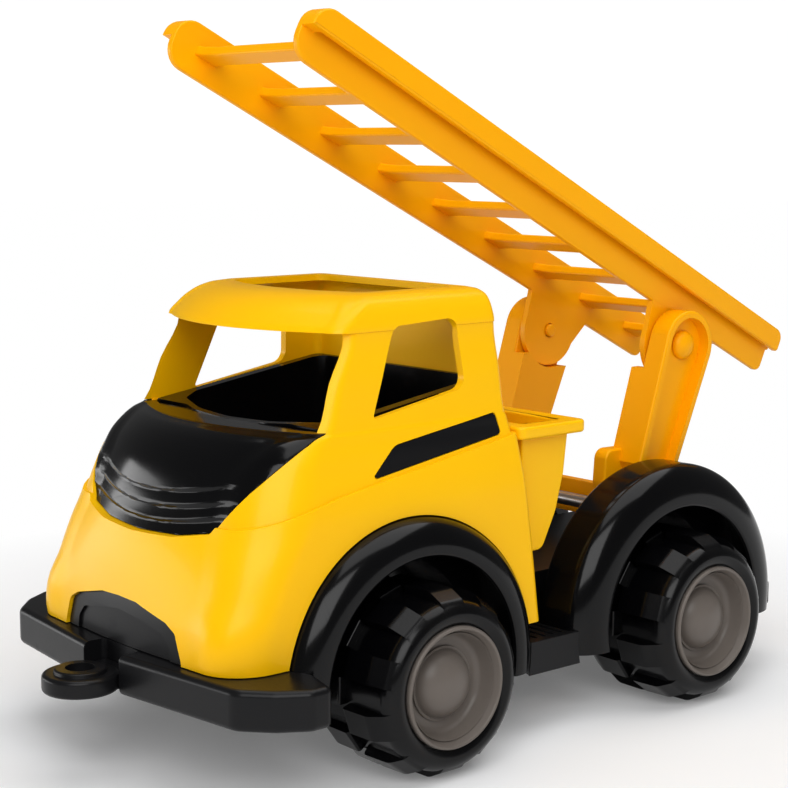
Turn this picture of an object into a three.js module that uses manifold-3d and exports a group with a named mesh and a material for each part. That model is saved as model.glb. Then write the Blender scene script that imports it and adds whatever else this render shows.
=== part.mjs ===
// Toy ladder truck, in millimetres. Front of the truck faces -Y, its left side is +X, +Z is up.
// Modelled with the front axle at y = 0 and the ground at z = 0, then moved at the end so that the
// origin is the middle of the footprint.
import * as THREE from 'three';
import { mergeVertices } from 'three/addons/utils/BufferGeometryUtils.js';
import Module from 'manifold-3d';

const wasm = await Module();
wasm.setup();

// ---------- driving dimensions ----------
const GAP = 0.3;                 // clearance between neighbouring mouldings

const WHEELBASE = 125.6;
const AXLE_Z = 31;
const AXLE_R = 2.2;
const AXLE_END_X = 71.6;
const TYRE_R = 30.7;             // over the flat top of a tread lug
const TYRE_IN_X = 38;
const TYRE_OUT_X = 80;
const RIM_R = 20;
const TYRE_BORE_R = 18.6;
const LUGS = 10;
const LUG_WIDTH = 9;
const CAP_R = 12.2;

const WALL = 2.6;                // shell thickness of the cab
const BULGE = 1.2;               // how far the lower body stands out below the belt line
const SILL_Z = 112;
const VISOR_Z = 142.3;
const TUB_FLOOR_Z = 86;

const GUARD_IN_X = 34;
const GUARD_WALL_X = 44;
const GUARD_ROLL_X = 57;
const GUARD_OUT_X = 66;
const GUARD_LIP_R = 42;
const GUARD_LEDGE_R = 38.5;
const GUARD_T = 2.5;
const FRONT_GUARD_R = 51.6;
const REAR_GUARD_R = 54.6;
const GUARD_BOTTOM_Z = 24;

const CHASSIS_X = 33.7;
const DECK_Z = 48;
const CHASSIS_BOTTOM_Z = 21;
const CHASSIS_END_Y = 178;

const BUMPER_BOTTOM_Z = 28.5;
const BUMPER_TOP_Z = 41.5;
const RING_Y = -89.2;             // tow ring centre

const BIN_BOTTOM_Z = 61;
const BIN_RIM_Z = 106;
const BIN_FLANGE = 4.5;
const RIM_SLOPE = 0.1556;        // the tub's rim climbs towards the rear

const PIVOT_Y = 151;             // ladder pivot
const PIVOT_Z = 126;
const FOOT_Y = 129;              // yoke hinge
const FOOT_Z = 64;
const YOKE_LEAN = 20.5;          // degrees back from upright
const ARM_IN_X = 34.3;
const ARM_OUT_X = 43.6;
const ARM_DEEP_X = 29;           // inner face of the arm below the ladder's lug
const ARM_TOP_R = 13.2;
const ARM_FOOT_R = 10.4;
const ARM_FOOT_DROP = 52;        // arm end below the ladder pivot, along the arm
const CHANNEL_DEPTH = 4.4;
const FOOT_IN_X = 27;
const FOOT_OUT_X = 33.5;
const PIN_R = 2.6;
const BORE_R = 2.9;

const LADDER_RISE = 26.8;        // degrees
const RAIL_IN_X = 31;
const RAIL_WEB_X = 33.4;
const RAIL_FLANGE_X = 38.6;
const RAIL_HALF = 9;
const RAIL_FRONT_S = -199.5;
const RAIL_REAR_S = 66;
const LADDER_PIVOT_S = 9.9;
const LADDER_PIVOT_H = -19.6;
const RUNGS = 9;
const RUNG_PITCH = 29.9;
const FIRST_RUNG_S = -184.6;
const RUNG_DEPTH = 7.6;
const RUNG_T = 3.4;
const FLARE = 0.0005;            // the rails spread towards the tip
const LUG_R = 14.2;

// ---------- materials ----------
const plastic = (color, roughness) => new THREE.MeshStandardMaterial({ color, roughness, metalness: 0 });
const YELLOW = plastic(0xfdc305, 0.35);
const LADDER_YELLOW = plastic(0xfab400, 0.4);
const GLOSS_BLACK = plastic(0x0b0b0d, 0.2);
const MATTE_BLACK = plastic(0x1d1d20, 0.6);
const RUBBER = plastic(0x121214, 0.4);
const HUB_GREY = plastic(0x5f5850, 0.5);
const STEEL = new THREE.MeshStandardMaterial({ color: 0xb8bbc0, roughness: 0.3, metalness: 1 });
YELLOW.name = 'body_yellow';
LADDER_YELLOW.name = 'ladder_yellow';
GLOSS_BLACK.name = 'gloss_black';
MATTE_BLACK.name = 'matte_black';
RUBBER.name = 'tyre_black';
HUB_GREY.name = 'hub_grey';
STEEL.name = 'bright_steel';

// ---------- solid helpers ----------
function solid(geometry) {
  const bare = geometry.clone();
  for (const name of ['normal', 'uv']) {
    if (bare.getAttribute(name)) bare.deleteAttribute(name);
  }
  const merged = mergeVertices(bare, 1e-4);
  return new wasm.Manifold(new wasm.Mesh({
    numProp: 3,
    vertProperties: new Float32Array(merged.getAttribute('position').array),
    triVerts: new Uint32Array(merged.getIndex().array),
  }));
}

function toGeometry(body) {
  const mesh = body.getMesh();
  const geometry = new THREE.BufferGeometry();
  const positions = new Float32Array(mesh.numVert * 3);
  for (let i = 0; i < mesh.numVert; i += 1) {
    for (let k = 0; k < 3; k += 1) {
      positions[3 * i + k] = mesh.vertProperties[mesh.numProp * i + k];
    }
  }
  geometry.setAttribute('position', new THREE.BufferAttribute(positions, 3));
  geometry.setIndex(new THREE.BufferAttribute(new Uint32Array(mesh.triVerts), 1));
  return geometry;
}

const union = (...bodies) => bodies.reduce((sum, body) => sum.add(body));

function box(x0, x1, y0, y1, z0, z1) {
  const geometry = new THREE.BoxGeometry(x1 - x0, y1 - y0, z1 - z0);
  geometry.translate((x0 + x1) / 2, (y0 + y1) / 2, (z0 + z1) / 2);
  return solid(geometry);
}

// A closed outline whose corners are rounded: each point is [a, b, radius].
function outline(points) {
  const path = [];
  const count = points.length;
  points.forEach(([a, b, radius = 0], i) => {
    const here = new THREE.Vector2(a, b);
    if (radius <= 0) {
      path.push(here);
      return;
    }
    const [pa, pb] = points[(i + count - 1) % count];
    const [na, nb] = points[(i + 1) % count];
    const toPrev = new THREE.Vector2(pa - a, pb - b).normalize();
    const toNext = new THREE.Vector2(na - a, nb - b).normalize();
    const half = Math.acos(THREE.MathUtils.clamp(toPrev.dot(toNext), -1, 1)) / 2;
    const run = radius / Math.tan(half);
    const start = here.clone().addScaledVector(toPrev, run);
    const end = here.clone().addScaledVector(toNext, run);
    const steps = 4;
    for (let k = 0; k <= steps; k += 1) {
      const t = k / steps;
      const p = start.clone().multiplyScalar((1 - t) * (1 - t));
      p.addScaledVector(here, 2 * t * (1 - t)).addScaledVector(end, t * t);
      path.push(p);
    }
  });
  return new THREE.Shape(path);
}

// Extrusions. The outline is in (y, z) for alongX, (x, z) for alongY and (x, y) for alongZ.
function extruded(shape, depth, bevel) {
  return new THREE.ExtrudeGeometry(shape, {
    depth: depth - 2 * bevel,
    bevelEnabled: bevel > 0,
    bevelThickness: bevel,
    bevelSize: bevel,
    bevelOffset: -bevel,
    bevelSegments: 1,
    curveSegments: 8,
  }).translate(0, 0, bevel);
}

function alongX(shape, x0, x1, bevel = 0) {
  const geometry = extruded(shape, x1 - x0, bevel);
  const turn = new THREE.Matrix4().makeBasis(
    new THREE.Vector3(0, 1, 0), new THREE.Vector3(0, 0, 1), new THREE.Vector3(1, 0, 0));
  return solid(geometry.applyMatrix4(turn).translate(x0, 0, 0));
}

function alongY(shape, y0, y1, bevel = 0) {
  const geometry = extruded(shape, y1 - y0, bevel);
  return solid(geometry.rotateX(Math.PI / 2).translate(0, y1, 0));
}

function alongZ(shape, z0, z1, bevel = 0) {
  return solid(extruded(shape, z1 - z0, bevel).translate(0, 0, z0));
}

// Turned about an axle parallel to X: the profile is a list of [x, radius].
function turned(profile, y, z, segments = 32) {
  const points = profile.map(([x, r]) => new THREE.Vector2(r, x));
  if (THREE.ShapeUtils.area(points) < 0) points.reverse();
  const geometry = new THREE.LatheGeometry(points, segments);
  geometry.rotateZ(-Math.PI / 2);
  geometry.rotateX(Math.PI / segments);
  return solid(geometry.translate(0, y, z));
}

function ring(profile, y, z, segments) {
  return turned([...profile, profile[0]], y, z, segments);
}

function rod(x0, x1, r, y, z, segments = 24) {
  return turned([[x0, 0], [x0, r], [x1, r], [x1, 0]], y, z, segments);
}

const mirrored = (body) => body.mirror([1, 0, 0]);
const mirrorPoints = (points) => [...points, ...points.filter(([x]) => x > 0).reverse()
  .map(([x, z, r]) => [-x, z, r])];

// ---------- cab skin: plan sections stacked in z ----------
// [z, y of the corners, bow of the front, half width, corner radius, y of the rear wall]
const SECTIONS = [
  [38.8, -71.6, 3.0, 58.3, 14, 57.0],
  [50, -71.2, 3.4, 58.2, 15, 55.6],
  [62, -68.6, 4.0, 57.8, 17, 54.4],
  [74, -65.0, 4.6, 57.2, 19, 53.2],
  [84, -61.2, 5.0, 56.6, 21, 52.2],
  [92, -58.4, 5.4, 55.6, 21, 51.4],
  [99, -55.0, 6.2, 54.4, 20, 50.6],
  [104, -50.8, 7.4, 53.6, 17, 50.0],
  [108, -45.4, 9.0, 52.8, 14, 49.2],
  [110.6, -39.8, 10.2, 52.4, 11, 48.6],
  [112, -34.4, 11.0, 52.0, 8, 48.0],
  [127, -27.0, 11.0, 50.3, 6, 47.0],
  [142.2, -19.5, 11.4, 48.6, 5, 46.0],
  [142.6, -24.2, 11.8, 49.0, 6, 46.0],
  [147, -20.4, 11.6, 48.2, 6, 45.6],
  [151, -15.8, 10.6, 46.4, 7, 45.0],
  [153.3, -11.2, 9.2, 43.6, 8, 43.2],
  [154, -7.6, 8.0, 40.8, 9, 40.8],
];

function sectionRing([z, yCorner, bow, halfWidth, radius, yRear], inset) {
  const w = halfWidth - inset;
  const front = yCorner + inset;
  const rear = yRear - inset;
  const r = Math.max(radius - inset, 1.2);
  const rr = 3;
  const half = [];
  const flat = w - r;
  for (const t of [0, 0.35, 0.7, 1]) {
    const x = t * flat;
    half.push([x, front - bow * (1 - (x / flat) ** 2)]);
  }
  for (const a of [30, 60, 90]) {
    const q = THREE.MathUtils.degToRad(a);
    half.push([flat + r * Math.sin(q), front + r * (1 - Math.cos(q))]);
  }
  half.push([w, (front + r + rear) / 2]);
  half.push([w, rear - rr]);
  half.push([w - 0.3 * rr, rear - 0.3 * rr]);
  half.push([w - rr, rear]);
  half.push([0, rear]);
  const full = [...half];
  for (let i = half.length - 2; i > 0; i -= 1) {
    full.push([-half[i][0], half[i][1]]);
  }
  return full.map(([x, y]) => [x, y, z]);
}

function cabSkin(inset, drop = 0, bottomZ = null) {
  const rings = SECTIONS.map((section) => sectionRing(section, inset));
  const n = rings[0].length;
  const positions = [];
  rings.forEach((points, level) => {
    for (const [x, y, z] of points) {
      const base = level === 0 && bottomZ !== null ? bottomZ : z - drop;
      positions.push(x, y, base);
    }
  });
  const index = [];
  for (let level = 0; level + 1 < rings.length; level += 1) {
    for (let i = 0; i < n; i += 1) {
      const a = level * n + i;
      const b = level * n + ((i + 1) % n);
      index.push(a, b, b + n, a, b + n, a + n);
    }
  }
  for (const [level, flip] of [[0, true], [rings.length - 1, false]]) {
    const contour = rings[level].map(([x, y]) => new THREE.Vector2(x, y));
    for (const [a, b, c] of THREE.ShapeUtils.triangulateShape(contour, [])) {
      const o = level * n;
      index.push(...(flip ? [o + c, o + b, o + a] : [o + a, o + b, o + c]));
    }
  }
  const geometry = new THREE.BufferGeometry();
  geometry.setAttribute('position', new THREE.Float32BufferAttribute(positions, 3));
  geometry.setIndex(index);
  return solid(geometry);
}

function hoodRegion(grow) {
  const g = grow;
  const edge = [
    [0, 79 - g], [20, 79.8 - g], [35 + g, 82.4 - g, 2], [41.5 + g, 91], [46.5 + g, 98.4], [49.6 + g, 104],
    [50.9 + g, 109], [50.9 + g, SILL_Z + g],
  ];
  return alongY(outline(mirrorPoints(edge)), -92, -29 + g);
}

function grilleRegion(grow) {
  const g = grow;
  const edge = [
    [34.5 + g, 30], [34.2 + g, 43, 4], [31 + g, 51.5, 3], [26 + g, 53.8 + g, 3], [10, 57.4 + g], [0, 57.8 + g],
  ];
  const points = [...edge, ...edge.slice(0, -1).reverse().map(([x, z, r]) => [-x, z, r])];
  return alongY(outline(points), -92, -60);
}

function buildCab() {
  const belt = outline([
    [-92, 84], [-60, 84.3], [-45, 88.4], [-28, 92.3], [10, 98.3], [47, 104], [70, 107], [70, 20], [-92, 20],
  ]);
  const lower = cabSkin(-BULGE).intersect(alongX(belt, -70, 70));
  const outer = cabSkin(0).add(lower);
  const window = outline([[-11, 114.6], [0.6, 143.6, 3], [27.4, 145, 4], [29.4, 121.6, 4]]);
  const windscreen = outline([[-48, SILL_Z], [48, SILL_Z], [45, VISOR_Z, 2], [-45, VISOR_Z, 2]]);
  const hatch = outline([
    [-36, 38, 5], [-36, -3, 5], [-20, -9.4], [0, -11.6], [20, -9.4], [36, -3, 5], [36, 38, 5],
  ]);
  const arch = rod(-70, 70, FRONT_GUARD_R + GAP + 0.1, 0, AXLE_Z, 72);
  let shell = outer.subtract(cabSkin(WALL, 2.2, 20));
  shell = shell.subtract(hoodRegion(GAP));
  shell = shell.subtract(grilleRegion(GAP));
  shell = shell.subtract(alongY(windscreen, -70, 20));
  shell = shell.subtract(alongX(window, -70, 70));
  shell = shell.subtract(alongZ(hatch, 146, 170));
  shell = shell.subtract(arch);
  shell = shell.subtract(box(-34.2, 34.2, 46, 66, 30, 52.4));
  shell = shell.subtract(box(-70, 70, -90, -35, 30, BUMPER_TOP_Z + GAP));
  return shell.subtract(trimBody(1.15, GAP)).subtract(mirrored(trimBody(1.15, GAP)));
}

// The side flash: a slice of the skin, sunk into the door.
function trimBody(depth, grow) {
  const g = grow;
  const shape = outline([[-14 - 2 * g, 96 - g], [43.5 + g, 105 - g], [41.6 + g, 112 + g], [-3 - g, 105.6 + g, 6]]);
  const skin = cabSkin(-2).subtract(cabSkin(depth + 0.1));
  return skin.intersect(alongX(shape, 40, 60)).subtract(cabSkin(-20).subtract(cabSkin(g > 0 ? -3 : -0.25)));
}

function buildTrim() {
  const shape = outline([[-14, 96], [43.5, 105], [41.6, 112], [-3, 105.6, 6]]);
  const slice = cabSkin(-0.25).subtract(cabSkin(0.85));
  return slice.intersect(alongX(shape, 40, 60));
}

function buildHoodTub() {
  const rimZ = (y) => 116.75 + RIM_SLOPE * y;
  const slope = (y0, y1, depth) => alongX(outline([
    [y0, rimZ(y0) - depth], [y1, rimZ(y1) - depth], [y1, rimZ(y1)], [y0, rimZ(y0)],
  ]), -60, 60);
  const hood = cabSkin(0.1).subtract(cabSkin(2.5, 2.2, 20)).intersect(hoodRegion(0));
  const rim = cabSkin(4).intersect(slope(-27.5, 44.6, 2.4));
  const slab = box(-60, 60, -80, 60, SILL_Z - 2.6, SILL_Z - 0.2);
  const frontPlate = cabSkin(0.9).intersect(slab).intersect(hoodRegion(-0.4));
  const mouth = (g, r) => outline([
    [-43 - g, 42 + g, r], [-43.4 - g, -14 - g, r], [-38 - g, -22 - g], [-20, -28.6 - g], [0, -30.8 - g],
    [20, -28.6 - g], [38 + g, -22 - g], [43.4 + g, -14 - g, r], [43 + g, 42 + g, r],
  ]);
  const tub = alongZ(mouth(2, 6), TUB_FLOOR_Z, 130).intersect(slope(-60, 60, 60)).intersect(cabSkin(4));
  const pocket = alongZ(mouth(0, 5), TUB_FLOOR_Z + 2.2, 150);
  let body = union(hood, rim, frontPlate, tub).subtract(pocket);
  for (const [z, w] of [[84.4, 34], [88.6, 38], [93.4, 42]]) {
    const groove = cabSkin(-1).subtract(cabSkin(0.75)).intersect(box(-w, w, -90, -50, z, z + 0.9));
    body = body.subtract(groove);
  }
  return body;
}

function buildGrille() {
  const slab = cabSkin(0.1).subtract(cabSkin(WALL + 0.4, 0, 20)).intersect(grilleRegion(0));
  const panel = outline([[-29, 30], [29, 30], [27, 46], [23, 50, 2], [0, 53.6], [-23, 50, 2], [-27, 46]]);
  const sunk = cabSkin(-1).subtract(cabSkin(1)).intersect(alongY(panel, -92, -60));
  return slab.subtract(sunk).intersect(box(-50, 50, -90, -60, BUMPER_TOP_Z + GAP, 70));
}

// ---------- mudguards ----------
function guardProfile(outerR) {
  const rollW = GUARD_OUT_X - GUARD_ROLL_X;
  const rollH = outerR - GUARD_LIP_R;
  const profile = [
    [GUARD_IN_X, 12], [GUARD_IN_X, GUARD_LEDGE_R], [GUARD_WALL_X, GUARD_LEDGE_R],
    [GUARD_WALL_X, outerR - 1.6], [GUARD_WALL_X + 1.6, outerR],
  ];
  for (let a = 90; a >= 0; a -= 22.5) {
    const q = THREE.MathUtils.degToRad(a);
    profile.push([GUARD_ROLL_X + rollW * Math.cos(q), GUARD_LIP_R + rollH * Math.sin(q)]);
  }
  profile.push([GUARD_OUT_X - 0.4, GUARD_LIP_R - 1.6], [GUARD_OUT_X - 1.7, GUARD_LIP_R - 2]);
  profile.push([GUARD_OUT_X - GUARD_T, GUARD_LIP_R - 0.6]);
  for (let a = 30; a <= 90; a += 30) {
    const q = THREE.MathUtils.degToRad(a);
    const inner = [GUARD_ROLL_X + (rollW - GUARD_T) * Math.cos(q), GUARD_LIP_R + (rollH - GUARD_T) * Math.sin(q)];
    profile.push(inner);
  }
  profile.push([GUARD_WALL_X + GUARD_T, outerR - GUARD_T], [GUARD_WALL_X + GUARD_T, GUARD_LEDGE_R - GUARD_T]);
  profile.push([GUARD_IN_X + GUARD_T, GUARD_LEDGE_R - GUARD_T], [GUARD_IN_X + GUARD_T, 12]);
  return profile;
}

function guardEnvelope(outerR, y, grow) {
  const rollW = GUARD_OUT_X - GUARD_ROLL_X + grow;
  const rollH = outerR - GUARD_LIP_R + grow;
  const profile = [[GUARD_IN_X - grow, 0], [GUARD_IN_X - grow, outerR + grow]];
  for (let a = 90; a >= 0; a -= 15) {
    const q = THREE.MathUtils.degToRad(a);
    profile.push([GUARD_ROLL_X + rollW * Math.cos(q), GUARD_LIP_R + rollH * Math.sin(q)]);
  }
  profile.push([GUARD_OUT_X + grow, 0]);
  return turned(profile, y, AXLE_Z, 36);
}

function buildGuard(outerR, y) {
  const full = ring(guardProfile(outerR), y, AXLE_Z, 32);
  return full.subtract(box(0, 90, y - 80, y + 80, -60, GUARD_BOTTOM_Z));
}

// ---------- wheels ----------
function lugBody(sign, angle, y) {
  const mid = (TYRE_IN_X + TYRE_OUT_X) / 2;
  const half = [[1, 26.6], [1, TYRE_R], [14.6, TYRE_R - 0.4], [20.4, 25.8], [18, 24]];
  const shape = outline(half.map(([x, r]) => [sign * x, r]));
  const geometry = extruded(shape, LUG_WIDTH, 0);
  geometry.rotateX(Math.PI / 2).translate(mid, LUG_WIDTH / 2, 0);
  geometry.rotateX(angle);
  return solid(geometry.translate(0, y, AXLE_Z));
}

function buildTyre(y) {
  const carcass = [
    [TYRE_IN_X + 1, TYRE_BORE_R], [77.3, TYRE_BORE_R], [77.3, RIM_R + 0.4], [79, RIM_R + 0.4],
    [TYRE_OUT_X, 24.2], [78, 27.6], [40, 27.6], [TYRE_IN_X, 24.2],
  ];
  let tyre = ring(carcass, y, AXLE_Z, 2 * LUGS);
  for (let i = 0; i < LUGS; i += 1) {
    const angle = (2 * Math.PI * i) / LUGS;
    tyre = tyre.add(lugBody(1, angle, y));
    tyre = tyre.add(lugBody(-1, angle + Math.PI / LUGS, y));
  }
  return tyre;
}

function buildHub(y) {
  return ring([
    [44, 18.2], [77.6, 18.2], [77.8, RIM_R], [79.8, RIM_R], [80.4, 18.6], [72, 16],
    [72, 2.5], [68.6, 2.5], [68.6, 16.2], [44, 16.2],
  ], y, AXLE_Z, 24);
}

function buildCap(y) {
  return turned([[72.3, 0], [72.3, CAP_R], [73.6, CAP_R], [76.6, 9.8], [78.5, 5.4], [79, 0]], y, AXLE_Z, 24);
}

function buildAxle(y) {
  const chamfer = [[0.6, AXLE_R - 0.5], [0, AXLE_R]];
  return turned([
    [-AXLE_END_X, 0], [-AXLE_END_X, chamfer[0][1]], [-AXLE_END_X + 0.6, AXLE_R],
    [AXLE_END_X - 0.6, AXLE_R], [AXLE_END_X, chamfer[0][1]], [AXLE_END_X, 0],
  ], y, AXLE_Z, 16);
}

// ---------- underbody ----------
const SCREWS = [[-18, -40], [18, -40], [-18, 66], [18, 66]];

function buildChassis() {
  const side = outline([
    [-62, CHASSIS_BOTTOM_Z, 3], [CHASSIS_END_Y, CHASSIS_BOTTOM_Z, 3], [CHASSIS_END_Y, DECK_Z, 3], [72, DECK_Z, 3],
    [70, BIN_BOTTOM_Z - GAP], [59, BIN_BOTTOM_Z - GAP], [57.6, DECK_Z], [-50, DECK_Z, 4], [-62, 40, 3],
  ]);
  let body = alongX(side, -CHASSIS_X, CHASSIS_X);
  for (const [y0, y1] of [[-54, -8], [8, 58], [74, 118], [133, 170]]) {
    const pocket = outline([[-30, y0, 4], [30, y0, 4], [30, y1, 4], [-30, y1, 4]]);
    body = body.subtract(alongZ(pocket, 10, DECK_Z - 3));
  }
  for (const x of [-CHASSIS_X, CHASSIS_X]) {
    body = body.subtract(box(x - 3, x + 3, 80, 112, 26, 40));
  }
  for (const side of [1, -1]) {
    const ear = outline([
      [FOOT_Y - 7.6, DECK_Z - 2], [FOOT_Y + 7.6, DECK_Z - 2], [FOOT_Y + 7, FOOT_Z + 7.5, 6],
      [FOOT_Y - 7, FOOT_Z + 7.5, 6],
    ]);
    const inner = Math.min(side * 20, side * 26.4);
    body = body.add(alongX(ear, inner, inner + 6.4, 0.8));
  }
  for (const y of [0, WHEELBASE]) {
    body = body.subtract(rod(-60, 60, AXLE_R + GAP, y, AXLE_Z, 16));
  }
  body = body.subtract(rod(-60, 60, BORE_R, FOOT_Y, FOOT_Z, 16));
  for (const [x, y] of SCREWS) {
    const post = new THREE.CylinderGeometry(6, 6, 24, 12).rotateX(Math.PI / 2).translate(x, y, 34);
    const bore = new THREE.CylinderGeometry(3.6, 3.6, 4, 16).rotateX(Math.PI / 2).translate(x, y, 23);
    body = body.add(solid(post)).subtract(solid(bore));
  }
  return body;
}

function buildScrew(x, y) {
  const head = new THREE.CylinderGeometry(3.2, 3.2, 1.9, 16).rotateX(Math.PI / 2).translate(x, y, 23.7);
  const slot = (w, d) => box(x - w, x + w, y - d, y + d, 22, 23.6);
  return solid(head).subtract(slot(2.1, 0.5)).subtract(slot(0.5, 2.1));
}

function buildBumper() {
  const edge = [
    [11, -81.5, 1.5], [64.5, -75.5, 4], [74, -67, 5], [80, -57.5, 4], [80, -50, 2], [66, -46], [50, -50], [50, -62.4],
  ];
  const plan = outline([...edge, ...edge.slice().reverse().map(([x, y, r]) => [-x, y, r])]);
  let bar = alongZ(plan, BUMPER_BOTTOM_Z, BUMPER_TOP_Z);
  const notch = outline([[-10.6, -90], [10.6, -90], [10.6, -73.5, 2], [-10.6, -73.5, 2]]);
  bar = bar.subtract(alongZ(notch, 0, 60));
  for (const side of [1, -1]) {
    const guard = guardEnvelope(FRONT_GUARD_R, 0, GAP);
    bar = bar.subtract(side > 0 ? guard : mirrored(guard));
  }
  return bar;
}

function buildTowRing() {
  const eye = new THREE.Shape().absarc(0, RING_Y, 12.3, 0, 2 * Math.PI, false);
  const plate = alongZ(new THREE.Shape(eye.getPoints(18)), 29.6, 35.6, 1.4);
  const tongue = outline([[-9, RING_Y], [9, RING_Y], [9, -73.9], [-9, -73.9]]);
  const lip = new THREE.CylinderGeometry(7.9, 8.7, 2.4, 32).rotateX(Math.PI / 2).translate(0, RING_Y, 35.8);
  const hole = new THREE.CylinderGeometry(4.8, 4.8, 30, 28).rotateX(Math.PI / 2).translate(0, RING_Y, 34);
  return union(plate, alongZ(tongue, 30.2, 35), solid(lip)).subtract(solid(hole));
}

function buildRunningBoard() {
  const plan = outline([[GUARD_IN_X + GAP, 42], [62.5, 42, 3], [62.5, 82, 3], [GUARD_IN_X + GAP, 82]]);
  let board = alongZ(plan, 21.4, 33, 1.4);
  board = board.subtract(guardEnvelope(FRONT_GUARD_R, 0, GAP));
  board = board.subtract(guardEnvelope(REAR_GUARD_R, WHEELBASE, GAP));
  for (const y of [56, 60, 64, 68]) {
    board = board.subtract(box(40, 59, y - 0.8, y + 0.8, 32.3, 34));
  }
  return board;
}

function buildRearBar() {
  const edge = [[54, CHASSIS_END_Y + 4.2, 2], [57.6, CHASSIS_END_Y + 7, 2], [50, CHASSIS_END_Y + 14, 4]];
  const plan = outline([...edge, ...edge.slice().reverse().map(([x, y, r]) => [-x, y, r])]);
  const bar = alongZ(plan, 22.5, 32.5, 0.8);
  const neck = box(-22, 22, CHASSIS_END_Y + GAP, CHASSIS_END_Y + 8, 23.5, 31.5);
  return bar.add(neck);
}

function buildBin() {
  const profile = (g, top) => outline([
    [56.6 + g, BIN_BOTTOM_Z + g, 2], [67 - g * 0.5, BIN_BOTTOM_Z + g, 2], [73.6 - g, 74], [77.2 - g, 87],
    [79.6 - g, top],
    [56.6 + g, top],
  ]);
  const shell = alongX(profile(0, BIN_RIM_Z - 0.5), -50.4, 50.4);
  const flangeFor = (x, y0, y1, r) => outline([[-x, y0, r], [x, y0, r], [x, y1, r], [-x, y1, r]]);
  const flange = alongZ(flangeFor(54.6, 52, 84.4, 2), BIN_RIM_Z - BIN_FLANGE, BIN_RIM_Z, 0.9);
  const inside = alongX(profile(2.3, BIN_RIM_Z + 20), -48, 48);
  return union(shell, flange).subtract(inside);
}

// ---------- yoke ----------
function alongArm(distance, across) {
  const a = THREE.MathUtils.degToRad(YOKE_LEAN);
  return [
    PIVOT_Y - distance * Math.sin(a) + across * Math.cos(a),
    PIVOT_Z - distance * Math.cos(a) - across * Math.sin(a),
  ];
}

function armOutline(inset) {
  const points = [];
  const top = ARM_TOP_R - inset;
  const foot = ARM_FOOT_R - inset;
  for (let a = -90; a <= 90; a += 15) {
    const q = THREE.MathUtils.degToRad(a);
    points.push(alongArm(-top * Math.cos(q), top * Math.sin(q)));
  }
  points.push(alongArm(ARM_FOOT_DROP - 3 - inset, foot));
  points.push(alongArm(ARM_FOOT_DROP - inset, foot - 3));
  points.push(alongArm(ARM_FOOT_DROP - inset, 3 - foot));
  points.push(alongArm(ARM_FOOT_DROP - 3 - inset, -foot));
  return outline(points);
}

function buildYoke() {
  const parts = [];
  const foot = outline([
    [FOOT_Y - 9, FOOT_Z - 8, 6], [FOOT_Y + 14, FOOT_Z - 8, 4], [FOOT_Y + 17, 80, 3], [FOOT_Y + 15, 88, 4],
    [FOOT_Y - 12, 88.5, 4], [FOOT_Y - 13, 76, 4],
  ]);
  const brace = outline([[-FOOT_OUT_X, 56.6, 2], [FOOT_OUT_X, 56.6, 2], [FOOT_OUT_X, 69.6], [-FOOT_OUT_X, 69.6]]);
  for (const side of [1, -1]) {
    const arm = alongX(armOutline(0), ARM_IN_X, ARM_OUT_X, 0.9)
      .subtract(alongX(armOutline(2.6), ARM_OUT_X - CHANNEL_DEPTH, ARM_OUT_X + 5));
    const shin = alongX(foot, FOOT_IN_X, FOOT_OUT_X, 0.9);
    const deep = alongX(armOutline(0), ARM_DEEP_X, ARM_IN_X + 1, 0)
      .subtract(rod(20, ARM_IN_X, LUG_R + 0.8, PIVOT_Y, PIVOT_Z, 48))
      .subtract(box(20, ARM_IN_X, PIVOT_Y + 2, 200, PIVOT_Z - 15, 200))
      .intersect(box(20, 60, 80, 200, 0, PIVOT_Z - 8));
    const one = union(arm, shin, deep);
    parts.push(side > 0 ? one : mirrored(one));
  }
  let body = union(...parts, alongY(brace, FOOT_Y + 9.4, FOOT_Y + 13.4, 0));
  body = body.subtract(rod(-60, 60, BORE_R, FOOT_Y, FOOT_Z, 16));
  return body.subtract(rod(-60, 60, BORE_R, PIVOT_Y, PIVOT_Z, 16));
}

function buildPivotPin() {
  const face = ARM_OUT_X - CHANNEL_DEPTH + GAP;
  return turned([
    [RAIL_IN_X - 1.4, 0], [RAIL_IN_X - 1.4, PIN_R - 0.6], [RAIL_IN_X - 0.8, PIN_R], [face, PIN_R],
    [face, 5.4], [face + 1.6, 5], [face + 3, 3.4], [face + 3.6, 0],
  ], PIVOT_Y, PIVOT_Z, 16);
}

// ---------- ladder, drawn flat along its own rails: s runs back, h up ----------
function railSide(h0, h1, frontR, rearR) {
  return outline([
    [RAIL_FRONT_S, h0, frontR], [RAIL_REAR_S - 1, h0, rearR], [RAIL_REAR_S - 1, h1, rearR],
    [RAIL_FRONT_S, h1, frontR],
  ]);
}

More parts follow.
